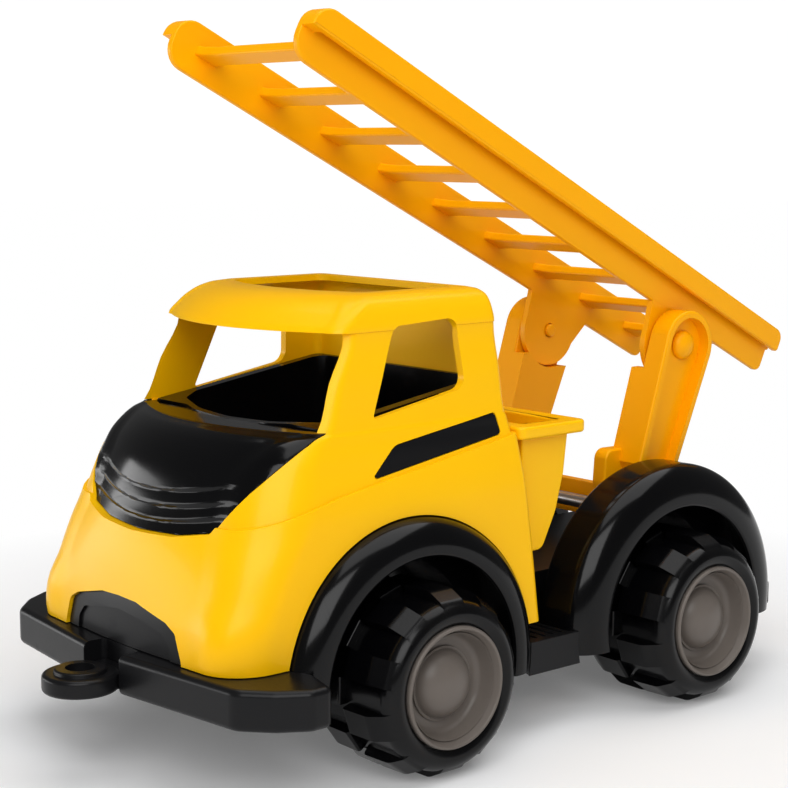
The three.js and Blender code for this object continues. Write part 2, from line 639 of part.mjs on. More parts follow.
function buildLadder() {
  const parts = [];
  const half = RAIL_HALF;
  const flange = outline([
    [RAIL_FRONT_S, 0.6], [RAIL_REAR_S, 0.6, 1], [RAIL_REAR_S, half, 4], [RAIL_FRONT_S, half, 7.5],
  ]);
  const groove = outline([
    [RAIL_FRONT_S + 3, -20], [RAIL_REAR_S + 3, -20], [RAIL_REAR_S + 3, half - 2.2], [RAIL_FRONT_S + 6, half - 2.2],
  ]);
  const lug = [];
  for (let a = 180; a <= 360; a += 20) {
    const q = THREE.MathUtils.degToRad(a);
    lug.push([LADDER_PIVOT_S + LUG_R * Math.cos(q), LADDER_PIVOT_H + LUG_R * Math.sin(q)]);
  }
  lug.push([LADDER_PIVOT_S + 19, -half + 2], [LADDER_PIVOT_S - 17, -half + 2]);
  for (const side of [1, -1]) {
    const web = alongX(railSide(-half, half, 7.5, 3), RAIL_IN_X, RAIL_WEB_X, 0);
    const head = alongX(flange, RAIL_IN_X, RAIL_FLANGE_X, 0.6)
      .subtract(alongX(groove, RAIL_WEB_X, RAIL_FLANGE_X - 2.1));
    const ear = alongX(outline(lug), RAIL_IN_X, RAIL_WEB_X, 0);
    const one = union(web, head, ear);
    parts.push(side > 0 ? one : mirrored(one));
  }
  for (let i = 0; i < RUNGS; i += 1) {
    const s = FIRST_RUNG_S + i * RUNG_PITCH;
    const plan = outline([
      [-RAIL_IN_X - 1, s - RUNG_DEPTH / 2 - 1.5], [-RAIL_IN_X + 5, s - RUNG_DEPTH / 2],
      [RAIL_IN_X - 5, s - RUNG_DEPTH / 2], [RAIL_IN_X + 1, s - RUNG_DEPTH / 2 - 1.5],
      [RAIL_IN_X + 1, s + RUNG_DEPTH / 2 + 1.5], [RAIL_IN_X - 5, s + RUNG_DEPTH / 2],
      [-RAIL_IN_X + 5, s + RUNG_DEPTH / 2], [-RAIL_IN_X - 1, s + RUNG_DEPTH / 2 + 1.5],
    ]);
    parts.push(alongZ(plan, -RUNG_T / 2, RUNG_T / 2, 0.6));
  }
  const flat = union(...parts).subtract(rod(-60, 60, BORE_R, LADDER_PIVOT_S, LADDER_PIVOT_H, 16)).warp((point) => {
    point[0] *= 1 + FLARE * Math.max(LADDER_PIVOT_S - 16 - point[1], 0);
  });
  const geometry = toGeometry(flat);
  geometry.translate(0, -LADDER_PIVOT_S, -LADDER_PIVOT_H);
  geometry.rotateX(-THREE.MathUtils.degToRad(LADDER_RISE));
  return geometry.translate(0, PIVOT_Y, PIVOT_Z);
}

// ---------- assembly ----------
const group = new THREE.Group();
group.name = 'toy_ladder_truck';

function place(name, body, material) {
  const geometry = body instanceof THREE.BufferGeometry ? body : toGeometry(body);
  geometry.computeVertexNormals();
  const mesh = new THREE.Mesh(geometry, material);
  mesh.name = name;
  group.add(mesh);
}

place('cab_shell', buildCab(), YELLOW);
place('hood_tub', buildHoodTub(), GLOSS_BLACK);
place('grille', buildGrille(), MATTE_BLACK);
place('chassis', buildChassis(), MATTE_BLACK);
place('front_bumper', buildBumper(), MATTE_BLACK);
place('tow_ring', buildTowRing(), MATTE_BLACK);
place('rear_bar', buildRearBar(), MATTE_BLACK);
place('rear_bin', buildBin(), YELLOW);
place('yoke', buildYoke(), LADDER_YELLOW);
place('yoke_pin', rod(-FOOT_OUT_X, FOOT_OUT_X, PIN_R, FOOT_Y, FOOT_Z, 16), STEEL);
place('ladder', buildLadder(), LADDER_YELLOW);
for (const [side, flip] of [['left', (body) => body], ['right', mirrored]]) {
  place(`side_trim_${side}`, flip(buildTrim()), MATTE_BLACK);
  place(`running_board_${side}`, flip(buildRunningBoard()), MATTE_BLACK);
  place(`pivot_pin_${side}`, flip(buildPivotPin()), LADDER_YELLOW);
  for (const [end, y, guardR] of [['front', 0, FRONT_GUARD_R], ['rear', WHEELBASE, REAR_GUARD_R]]) {
    place(`mudguard_${end}_${side}`, flip(buildGuard(guardR, y)), GLOSS_BLACK);
    place(`tyre_${end}_${side}`, flip(buildTyre(y)), RUBBER);
    place(`hub_${end}_${side}`, flip(buildHub(y)), HUB_GREY);
    place(`hub_cap_${end}_${side}`, flip(buildCap(y)), HUB_GREY);
  }
}
place('axle_front', buildAxle(0), STEEL);
place('axle_rear', buildAxle(WHEELBASE), STEEL);
SCREWS.forEach(([x, y], i) => place(`screw_${i + 1}`, buildScrew(x, y), STEEL));

// Origin to the middle of the footprint, on the ground.
const bounds = new THREE.Box3().setFromObject(group);
const middle = bounds.getCenter(new THREE.Vector3());
for (const mesh of group.children) {
  mesh.geometry.translate(-middle.x, -middle.y, -bounds.min.z);
}

export default group;
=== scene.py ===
"""Looks for the toy ladder truck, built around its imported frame.

The truck faces -Y, its left side is +X and +Z is up. Pieces are drawn in truck millimetres, measured from
the front axle's middle in x and y and from the ground in z, and turned into the frame's metres at the end.
"""

import logging
import math
from dataclasses import dataclass
from enum import Enum
from typing import Callable, Iterable, Optional, Sequence, Union

import bpy
from mathutils import Euler, Matrix, Vector


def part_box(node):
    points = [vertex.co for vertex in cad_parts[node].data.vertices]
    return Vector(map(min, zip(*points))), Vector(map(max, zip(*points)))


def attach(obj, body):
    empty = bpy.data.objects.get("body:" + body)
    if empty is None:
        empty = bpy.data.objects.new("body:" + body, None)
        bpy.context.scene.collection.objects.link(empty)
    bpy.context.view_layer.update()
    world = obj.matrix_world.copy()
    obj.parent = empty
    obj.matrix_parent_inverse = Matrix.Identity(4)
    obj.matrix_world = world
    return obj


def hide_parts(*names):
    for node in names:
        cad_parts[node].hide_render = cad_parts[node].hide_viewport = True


logging.basicConfig(level=logging.INFO, format="%(message)s")
LOG = logging.getLogger("ladder_truck")

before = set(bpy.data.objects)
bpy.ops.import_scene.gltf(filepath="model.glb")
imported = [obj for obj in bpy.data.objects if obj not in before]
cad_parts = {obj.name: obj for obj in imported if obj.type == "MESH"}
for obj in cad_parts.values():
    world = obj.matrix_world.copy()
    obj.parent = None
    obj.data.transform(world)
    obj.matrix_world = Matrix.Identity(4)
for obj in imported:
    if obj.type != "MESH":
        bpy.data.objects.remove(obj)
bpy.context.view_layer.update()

MM = 0.001
AXLE_HEIGHT = 31.0
Point = Sequence[float]
Outline = list[tuple[float, float]]


def node_middle(node: str) -> Vector:
    """Middle of a CAD node's box, in metres."""
    low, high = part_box(node)
    return (Vector(low) + Vector(high)) / 2


FRONT_AXLE = node_middle("axle_front")
REAR_AXLE = node_middle("axle_rear")
WHEELBASE = (REAR_AXLE.y - FRONT_AXLE.y) / MM


def in_frame(x: float, y: float, z: float) -> Vector:
    """Turns truck millimetres into the frame's metres."""
    return Vector((x * MM, FRONT_AXLE.y + y * MM, FRONT_AXLE.z + (z - AXLE_HEIGHT) * MM))


class Body(Enum):
    """The rigid bodies that pieces ride on."""

    TRUCK = "truck"
    YOKE = "yoke"
    LADDER = "ladder"


class Slot(Enum):
    """The record's material slots."""

    BODY = "body_yellow"
    LADDER = "ladder_yellow"
    GLOSS = "gloss_black"
    MATTE = "matte_black"
    TYRE = "tyre_black"
    HUB = "hub_grey"
    STEEL = "bright_steel"


class Side(Enum):
    """Left is +X, right is -X."""

    LEFT = 1
    RIGHT = -1

    @property
    def label(self) -> str:
        """Lower-case name used in node names."""
        return self.name.lower()


# ---------------------------------------------------------------- shader maths


class Signal:
    """A shader socket that can be used in arithmetic."""

    def __init__(self, tree: "Shader", socket: bpy.types.NodeSocket) -> None:
        """Keeps the socket and the tree that it belongs to."""
        self.tree = tree
        self.socket = socket

    def _maths(self, operation: str, first: "Number", second: "Number") -> "Signal":
        """Adds one Math node for this operation."""
        return self.tree.node("ShaderNodeMath", {"operation": operation}, {0: first, 1: second})

    def __add__(self, other: "Number") -> "Signal":
        """self + other."""
        return self._maths("ADD", self, other)

    def __radd__(self, other: float) -> "Signal":
        """other + self."""
        return self._maths("ADD", other, self)

    def __sub__(self, other: "Number") -> "Signal":
        """self - other."""
        return self._maths("SUBTRACT", self, other)

    def __rsub__(self, other: float) -> "Signal":
        """other - self."""
        return self._maths("SUBTRACT", other, self)

    def __mul__(self, other: "Number") -> "Signal":
        """self * other."""
        return self._maths("MULTIPLY", self, other)

    def __rmul__(self, other: float) -> "Signal":
        """other * self."""
        return self._maths("MULTIPLY", other, self)

    def __pow__(self, other: "Number") -> "Signal":
        """self ** other."""
        return self._maths("POWER", self, other)


Number = Union[Signal, float]
Colour = tuple[float, float, float]


class Shader:
    """Builds one node material around a Principled shader."""

    def __init__(self, name: str) -> None:
        """Makes an empty material.

        Args:
            name: The material's name.
        """
        self.material = bpy.data.materials.new(name)
        self.material.use_nodes = True
        self.nodes = self.material.node_tree.nodes
        self.links = self.material.node_tree.links
        self.nodes.clear()
        self.surface = self.nodes.new("ShaderNodeBsdfPrincipled")
        output = self.nodes.new("ShaderNodeOutputMaterial")
        self.links.new(self.surface.outputs[0], output.inputs["Surface"])
        self.output = output

    def node(self, kind: str, settings: dict, sockets: dict, out: Union[int, str] = 0) -> Signal:
        """Adds any node.

        Args:
            kind: The node's type name.
            settings: Attributes that are set before the sockets.
            sockets: Input name or index to a value or a Signal.
            out: The output to hand back.

        Returns:
            The chosen output as a Signal.
        """
        made = self.nodes.new(kind)
        for name, value in settings.items():
            setattr(made, name, value)
        for key, value in sockets.items():
            self.feed(made.inputs[key], value)
        return Signal(self, made.outputs[out])

    def feed(self, target: bpy.types.NodeSocket, value: object) -> None:
        """Links a Signal to an input, or sets the input's own value."""
        if isinstance(value, Signal):
            self.links.new(value.socket, target)
        else:
            target.default_value = value

    def set(self, **values: object) -> None:
        """Sets or links the Principled shader's inputs, with _ for a space in a name."""
        for name, value in values.items():
            self.feed(self.surface.inputs[name.replace("_", " ")], value)

    def position(self, scale: Point = (1.0, 1.0, 1.0)) -> Signal:
        """Object coordinates in metres, stretched by scale."""
        coordinates = self.node("ShaderNodeTexCoord", {}, {}, "Object")
        return self.node("ShaderNodeMapping", {}, {"Vector": coordinates, "Scale": tuple(scale)})

    def noise(self, scale: float, detail: float, where: Optional[Signal] = None,
              rough: float = 0.5) -> Signal:
        """A noise value of about 0 to 1."""
        where = where or self.position()
        sockets = {"Vector": where, "Scale": scale, "Detail": detail, "Roughness": rough}
        return self.node("ShaderNodeTexNoise", {}, sockets)

    def ranged(self, value: Signal, low: float, high: float, out_low: float, out_high: float) -> Signal:
        """Maps low..high to out_low..out_high and clamps."""
        sockets = {"Value": value, "From Min": low, "From Max": high, "To Min": out_low, "To Max": out_high}
        return self.node("ShaderNodeMapRange", {}, sockets)

    def blend(self, factor: Number, first: Colour, second: Colour) -> Signal:
        """Mixes two colours."""
        settings = {"data_type": "RGBA"}
        one = first if isinstance(first, Signal) else (*first, 1.0)
        two = second if isinstance(second, Signal) else (*second, 1.0)
        return self.node("ShaderNodeMix", settings, {0: factor, 6: one, 7: two}, 2)

    def bump(self, height: Signal, strength: float, distance: float) -> Signal:
        """Turns a height in 0 to 1 into a normal."""
        return self.node("ShaderNodeBump", {}, {"Strength": strength, "Distance": distance, "Height": height})


# ---------------------------------------------------------------- finishes


@dataclass(frozen=True)
class MouldedPlastic:
    """Injection-moulded plastic with a skin, faint flow shading, fine scratches and handling marks."""

    name: str
    colour: Colour
    shade: Colour
    roughness: float
    coat: float
    grain: float
    scratches: float
    sheen: float
    glow: float = 0.0

    def build(self) -> bpy.types.Material:
        """Returns the finished material."""
        tree = Shader(self.name)
        flow = tree.ranged(tree.noise(14.0, 3.0), 0.3, 0.7, 0.0, 1.0)
        fibres = tree.noise(60.0, 5.0, tree.position((1.0, 14.0, 1.0)), 0.6)
        hairlines = tree.ranged(fibres, 0.62, 0.7, 0.0, 1.0)
        crossed = tree.noise(55.0, 5.0, tree.position((16.0, 1.0, 2.0)), 0.6)
        hairlines = hairlines + tree.ranged(crossed, 0.64, 0.71, 0.0, 1.0)
        patches = tree.ranged(tree.noise(35.0, 4.0), 0.35, 0.75, 0.0, 1.0)
        skin = tree.noise(1500.0, 2.0)
        ripple = tree.noise(220.0, 2.0)
        height = skin * 0.55 + ripple * 0.45 - hairlines * (0.5 * self.scratches)
        roughness = self.roughness + patches * 0.05 + hairlines * (0.12 * self.scratches) + skin * 0.03
        tree.set(
            Base_Color=tree.blend(flow, self.colour, self.shade),
            Roughness=roughness,
            Normal=tree.bump(height, self.grain, 0.00006),
            Coat_Weight=self.coat,
            Coat_Roughness=0.08,
            IOR=1.5,
            Specular_IOR_Level=self.sheen,
        )
        if self.glow > 0:
            tree.set(Subsurface_Weight=self.glow, Subsurface_Radius=(1.0, 0.45, 0.08), Subsurface_Scale=0.003)
        return tree.material


@dataclass(frozen=True)
class SoftTyre:
    """Glossy soft plastic with patches of dust and a faint mould grain."""

    name: str
    colour: Colour
    dust: Colour
    roughness: float

    def build(self) -> bpy.types.Material:
        """Returns the finished material."""
        tree = Shader(self.name)
        patches = tree.noise(45.0, 5.0, None, 0.6)
        dust = tree.ranged(patches, 0.52, 0.8, 0.0, 0.35)
        pores = tree.noise(900.0, 3.0)
        tree.set(
            Base_Color=tree.blend(dust, self.colour, self.dust),
            Roughness=self.roughness + patches * 0.14 + pores * 0.04,
            Normal=tree.bump(pores * 0.5 + tree.noise(160.0, 3.0) * 0.5, 0.16, 0.0001),
            Coat_Weight=0.12,
            Coat_Roughness=0.1,
            Specular_IOR_Level=0.24,
        )
        return tree.material


@dataclass(frozen=True)
class DrawnSteel:
    """Steel wire or turned steel with fine lines along its length."""

    name: str
    colour: Colour

    def build(self) -> bpy.types.Material:
        """Returns the finished material."""
        tree = Shader(self.name)
        lines = tree.noise(300.0, 4.0, tree.position((0.04, 1.0, 1.0)), 0.6)
        bloom = tree.ranged(tree.noise(60.0, 4.0), 0.45, 0.75, 0.0, 1.0)
        tree.set(
            Base_Color=tree.blend(bloom * 0.4, self.colour, (0.36, 0.33, 0.3)),
            Metallic=1.0,
            Roughness=0.24 + lines * 0.14 + bloom * 0.12,
            Normal=tree.bump(lines, 0.2, 0.00005),
        )
        return tree.material


@dataclass(frozen=True)
class StudioFloor:
    """Pale floor that fades to the white of the backdrop away from the truck."""

    near: Colour = (0.94, 0.94, 0.945)
    glow_near: float = 0.15
    fade_from: float = 0.17
    fade_to: float = 0.34

    def build(self) -> bpy.types.Material:
        """Returns the finished material."""
        tree = Shader("studio_floor")
        grain = tree.noise(30.0, 3.0)
        tree.set(Base_Color=tree.blend(grain, self.near, tuple(c * 0.985 for c in self.near)), Roughness=0.6)
        away = tree.node("ShaderNodeVectorMath", {"operation": "LENGTH"}, {0: tree.position()}, "Value")
        fade = tree.ranged(away, self.fade_from, self.fade_to, self.glow_near, 1.0)
        paper = tree.node("ShaderNodeEmission", {}, {"Color": (1.0, 1.0, 1.0, 1.0), "Strength": 1.0})
        skin = Signal(tree, tree.surface.outputs[0])
        mixed = tree.node("ShaderNodeMixShader", {}, {0: fade, 1: skin, 2: paper})
        tree.links.new(mixed.socket, tree.output.inputs["Surface"])
        return tree.material


FINISHES = {
    Slot.BODY: MouldedPlastic(
        name="body_yellow", colour=(0.97, 0.56, 0.001), shade=(0.95, 0.53, 0.001), roughness=0.3, coat=0.06,
        grain=0.12, scratches=0.2, sheen=0.2, glow=0.04,
    ),
    Slot.LADDER: MouldedPlastic(
        name="ladder_yellow", colour=(0.96, 0.45, 0.0), shade=(0.93, 0.42, 0.0), roughness=0.34, coat=0.03,
        grain=0.14, scratches=0.3, sheen=0.16, glow=0.06,
    ),
    Slot.GLOSS: MouldedPlastic(
        name="gloss_black", colour=(0.0022, 0.0022, 0.0026), shade=(0.004, 0.004, 0.0045), roughness=0.12,
        coat=0.1, grain=0.05, scratches=0.5, sheen=0.24,
    ),
    Slot.MATTE: MouldedPlastic(
        name="matte_black", colour=(0.006, 0.006, 0.007), shade=(0.009, 0.009, 0.01), roughness=0.3,
        coat=0.04, grain=0.25, scratches=0.6, sheen=0.24,
    ),
    Slot.TYRE: SoftTyre(
        name="tyre_black", colour=(0.002, 0.002, 0.0025), dust=(0.011, 0.01, 0.0095), roughness=0.15,
    ),
    Slot.HUB: MouldedPlastic(
        name="hub_grey", colour=(0.17, 0.148, 0.13), shade=(0.15, 0.13, 0.115), roughness=0.34, coat=0.05,
        grain=0.2, scratches=0.5, sheen=0.3,
    ),
    Slot.STEEL: DrawnSteel(name="bright_steel", colour=(0.6, 0.61, 0.63)),
}


class FinishShelf:
    """Makes each finish once and hands it out."""

    def __init__(self) -> None:
        """Starts with no finish made."""
        self._made: dict[Slot, bpy.types.Material] = {}

    def get(self, slot: Slot) -> bpy.types.Material:
        """Returns the slot's material, making it the first time."""
        if slot not in self._made:
            self._made[slot] = FINISHES[slot].build()
        return self._made[slot]


SHELF = FinishShelf()


# ---------------------------------------------------------------- outlines and solids


def rounded(points: Sequence[Point], steps: int = 7) -> Outline:
    """Rounds an outline's corners.

    Args:
        points: (a, b) or (a, b, radius) for each corner, in order.
        steps: How many edges each rounded corner has.

    Returns:
        The outline's points.
    """
    path: Outline = []
    count = len(points)
    for i, corner in enumerate(points):
        here = Vector(corner[:2])
        radius = corner[2] if len(corner) > 2 else 0.0
        if radius <= 0:
            path.append((here.x, here.y))
            continue
        before = (Vector(points[i - 1][:2]) - here).normalized()
        after = (Vector(points[(i + 1) % count][:2]) - here).normalized()
        half = before.angle(after) / 2
        run = radius / math.tan(half)
        middle = here + (before + after).normalized() * (radius / math.sin(half))
        start = here + before * run - middle
        turn = start.angle_signed(here + after * run - middle)
        for k in range(steps + 1):
            spoke = start.copy()
            spoke.rotate(Matrix.Rotation(-turn * k / steps, 2))
            path.append((middle.x + spoke.x, middle.y + spoke.y))
    return path


def mirrored_outline(points: Sequence[Point]) -> list[Point]:
    """Adds the mirror image of a half outline, in a, to close it across a = 0."""
    other = [(-p[0], *p[1:]) for p in reversed(points) if p[0] > 0]
    return [*points, *other]


class Solid:
    """A closed mesh in truck millimetres that can be cut, joined and finished."""

    def __init__(self, points: Sequence[Point], faces: Sequence[Sequence[int]]) -> None:
        """Makes the mesh.

        Args:
            points: The corners, in truck millimetres.
            faces: Corner indices of each face.
        """
        mesh = bpy.data.meshes.new("solid")
        mesh.from_pydata([tuple(p) for p in points], [], [tuple(f) for f in faces])
        mesh.update()
        self.thing = bpy.data.objects.new("solid", mesh)
        bpy.context.scene.collection.objects.link(self.thing)
        self._face_outwards()

    def _face_outwards(self) -> None:
        """Turns every face outwards when the mesh's volume comes out negative."""
        mesh = self.thing.data
        mesh.calc_loop_triangles()
        volume = 0.0
        for triangle in mesh.loop_triangles:
            a, b, c = (mesh.vertices[i].co for i in triangle.vertices)
            volume += a.dot(b.cross(c))
        if volume < 0:
            mesh.flip_normals()

    def _combine(self, other: "Solid", operation: str) -> "Solid":
        """Runs one boolean with another solid, which is used up."""
        modifier = self.thing.modifiers.new("combine", "BOOLEAN")
        modifier.operation = operation
        modifier.object = other.thing
        modifier.solver = "MANIFOLD"
        graph = bpy.context.evaluated_depsgraph_get()
        mesh = bpy.data.meshes.new_from_object(self.thing.evaluated_get(graph))
        self.thing.modifiers.clear()
        used = self.thing.data
        self.thing.data = mesh
        bpy.data.meshes.remove(used)
        other.drop()
        return self

    def cut(self, other: "Solid") -> "Solid":
        """Takes another solid away."""
        return self._combine(other, "DIFFERENCE")

    def join(self, other: "Solid") -> "Solid":
        """Adds another solid."""
        return self._combine(other, "UNION")

    def keep(self, other: "Solid") -> "Solid":
        """Keeps only what is also inside another solid."""
        return self._combine(other, "INTERSECT")

    def drop(self) -> None:
        """Removes the solid from the scene."""
        mesh = self.thing.data
        bpy.data.objects.remove(self.thing)
        bpy.data.meshes.remove(mesh)

    def copy(self) -> "Solid":
        """Returns an independent copy."""
        twin = Solid.__new__(Solid)
        twin.thing = self.thing.copy()
        twin.thing.data = self.thing.data.copy()
        bpy.context.scene.collection.objects.link(twin.thing)
        return twin

    def moved(self, matrix: Matrix) -> "Solid":
        """Moves the mesh by a matrix, and keeps its faces outwards when that mirrors it."""
        self.thing.data.transform(matrix)
        if matrix.determinant() < 0:
            self.thing.data.flip_normals()
        return self

    def sided(self, side: Side) -> "Solid":
        """Mirrors a solid that was drawn for the left side when the right one is wanted."""
        return self.moved(Matrix.Diagonal((-1, 1, 1, 1))) if side is Side.RIGHT else self

    def finish(self, name: str, body: Union[Body, str], slot: Slot, nodes: Iterable[str], bevel: float,
               crease: float = 38.0) -> bpy.types.Object:
        """Turns the solid into a finished piece of the truck.

        Args:
            name: The piece's name.
            body: The rigid body it rides on.
            slot: Its material slot.
            nodes: The CAD nodes it stands for.
            bevel: Width of its rounded edges, in millimetres.
            crease: Edges sharper than this many degrees are rounded.

        Returns:
            The finished object.
        """
        thing = self.thing
        thing.name = f"{name}_look"
        thing.data.name = f"{name}_look"
        thing.data.transform(Matrix.Translation(in_frame(0, 0, 0)) @ Matrix.Scale(MM, 4))
        soften(thing, bevel, crease)
        thing.data.materials.clear()
        thing.data.materials.append(SHELF.get(slot))
        rides_on = body.value if isinstance(body, Body) else body
        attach(thing, rides_on)
        nodes = list(nodes)
        if nodes:
            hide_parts(*nodes)
        LOG.info("%s: %d faces on %s", name, len(thing.data.polygons), rides_on)
        return thing


def soften(thing: bpy.types.Object, bevel: float, crease: float = 38.0, segments: int = 3) -> None:
    """Gives an object rounded edges and smooth shading.

    Args:
        thing: The object.
        bevel: Width of the rounded edges, in millimetres.
        crease: Edges sharper than this many degrees are rounded.
        segments: Steps across each rounded edge.
    """
    weld = thing.modifiers.new("weld", "WELD")
    weld.merge_threshold = 0.00002
    if bevel > 0:
        edge = thing.modifiers.new("rounded_edges", "BEVEL")
        edge.width = bevel * MM
        edge.segments = segments
        edge.limit_method = "ANGLE"
        edge.angle_limit = math.radians(crease)
        edge.miter_outer = "MITER_ARC"
        edge.use_clamp_overlap = True
        edge.harden_normals = False
    for polygon in thing.data.polygons:
        polygon.use_smooth = True
    normals = thing.modifiers.new("even_shading", "WEIGHTED_NORMAL")
    normals.keep_sharp = True
    normals.weight = 60


def shrunk(outline: Outline, inset: float) -> Outline:
    """Moves an outline inwards by inset, corner by corner."""
    count = len(outline)
    area = sum(outline[i - 1][0] * outline[i][1] - outline[i][0] * outline[i - 1][1] for i in range(count))
    turn = 1 if area > 0 else -1
    moved: Outline = []
    for i, (a, b) in enumerate(outline):
        before = Vector((a - outline[i - 1][0], b - outline[i - 1][1])).normalized()
        after = Vector((outline[(i + 1) % count][0] - a, outline[(i + 1) % count][1] - b)).normalized()
        first, second = Vector((-before.y, before.x)) * turn, Vector((-after.y, after.x)) * turn
        step = (first + second) * (inset / max(1 + first.dot(second), 0.4))
        moved.append((a + step.x, b + step.y))
    return moved


def prism(axis: str, outline: Outline, low: float, high: float, rim: float = 0.0) -> Solid:
    """Extrudes an outline along an axis.

    Args:
        axis: "x" with the outline in (y, z), "y" with it in (x, z), or "z" with it in (x, y).
        outline: The outline's points.
        low: Start of the extrusion.
        high: End of the extrusion.
        rim: Radius of the rounding at both ends.

    Returns:
        The prism.
    """
    spot: dict[str, Callable[[float, float, float], Point]] = {
        "x": lambda a, b, t: (t, a, b),
        "y": lambda a, b, t: (a, t, b),
        "z": lambda a, b, t: (a, b, t),
    }
    at = spot[axis]
    if rim <= 0:
        return stacked([[at(a, b, t) for a, b in outline] for t in (low, high)])
    turns = [math.radians(22.5 * k) for k in range(5)]
    loops = [(shrunk(outline, rim * (1 - math.sin(q))), rim * (1 - math.cos(q))) for q in turns]
    levels = [(loop, low + rise) for loop, rise in loops]
    levels += [(loop, high - rise) for loop, rise in loops[::-1]]
    return stacked([[at(a, b, t) for a, b in loop] for loop, t in levels])


def stacked(rings: Sequence[Sequence[Point]]) -> Solid:
    """Skins a stack of rings that all have the same number of points, and closes both ends."""
    count = len(rings[0])
    points = [p for ring in rings for p in ring]
    faces: list[tuple[int, ...]] = []
    for level in range(len(rings) - 1):
        for i in range(count):
            a = level * count + i
            b = level * count + (i + 1) % count
            faces.append((a, b, b + count, a + count))
    last = (len(rings) - 1) * count
    faces.append(tuple(range(count))[::-1])
    faces.append(tuple(range(last, last + count)))
    return Solid(points, faces)


def turned(profile: Sequence[Point], y: float, z: float, segments: int, start: float = 0.0,
           sweep: float = 360.0) -> Solid:
    """Turns a closed (x, radius) outline about an axis along X.

    Args:
        profile: The outline; points with a radius of 0 lie on the axis.
        y: The axis's y.
        z: The axis's z.
        segments: Steps in the turn.
        start: First angle in degrees, from +Y towards +Z.
        sweep: Degrees turned through.

    Returns:
        The turned solid.
    """
    whole = sweep >= 360
    spokes = segments if whole else segments + 1
    index: dict[tuple[int, int], int] = {}
    points: list[Point] = []
    for s in range(spokes):
        angle = math.radians(start + sweep * s / segments)
        for p, (x, radius) in enumerate(profile):
            if radius == 0 and s > 0:
                index[s, p] = index[0, p]
                continue
            index[s, p] = len(points)
            points.append((x, y + radius * math.cos(angle), z + radius * math.sin(angle)))
    faces: list[tuple[int, ...]] = []
    count = len(profile)
    for s in range(segments):
        t = (s + 1) % spokes
        for p in range(count):
            q = (p + 1) % count
            corners = [index[s, p], index[s, q], index[t, q], index[t, p]]
            face = tuple(dict.fromkeys(corners))
            if len(face) > 2:
                faces.append(face)
    if not whole:
        faces.append(tuple(index[0, p] for p in range(count)))
        faces.append(tuple(index[segments, p] for p in range(count))[::-1])
    return Solid(points, faces)


def block(low: Point, high: Point) -> Solid:
    """A straight-sided block between two corners."""
    outline = [(low[0], low[1]), (high[0], low[1]), (high[0], high[1]), (low[0], high[1])]
    return prism("z", outline, low[2], high[2])


def rod(x0: float, x1: float, radius: float, y: float, z: float, segments: int = 40) -> Solid:
    """A round bar along X."""
    return turned([(x0, 0), (x0, radius), (x1, radius), (x1, 0)], y, z, segments)


def arc(middle: Point, radius: Point, start: float, end: float, steps: int) -> Outline:
    """Points on an elliptical arc, from start to end in degrees."""
    path: Outline = []
    for k in range(steps + 1):
        angle = math.radians(start + (end - start) * k / steps)
        path.append((middle[0] + radius[0] * math.cos(angle), middle[1] + radius[1] * math.sin(angle)))
    return path


# ---------------------------------------------------------------- cab skin


class Fairing:
    """A smooth curve through values at rising heights that never overshoots them."""

    def __init__(self, heights: Sequence[float], values: Sequence[float]) -> None:
        """Works out the slopes.

        Args:
            heights: Rising heights.
            values: The value at each height.
        """
        self.heights = list(heights)
        self.values = list(values)
        steps = [b - a for a, b in zip(heights, heights[1:])]
        rates = [(b - a) / step for a, b, step in zip(values, values[1:], steps)]
        self.slopes = [rates[0]]
        for before, after in zip(rates, rates[1:]):
            same_way = before * after > 0
            self.slopes.append(2 * before * after / (before + after) if same_way else 0.0)
        self.slopes.append(rates[-1])

    def at(self, height: float) -> float:
        """Returns the value at a height."""
        last = len(self.heights) - 2
        i = min(max(sum(1 for h in self.heights if h <= height) - 1, 0), last)
        step = self.heights[i + 1] - self.heights[i]
        t = (height - self.heights[i]) / step
        start, end = self.values[i], self.values[i + 1]
        return (
            start * (1 + 2 * t) * (1 - t) ** 2 + end * t * t * (3 - 2 * t)
            + self.slopes[i] * step * t * (1 - t) ** 2 - self.slopes[i + 1] * step * t * t * (1 - t)
        )


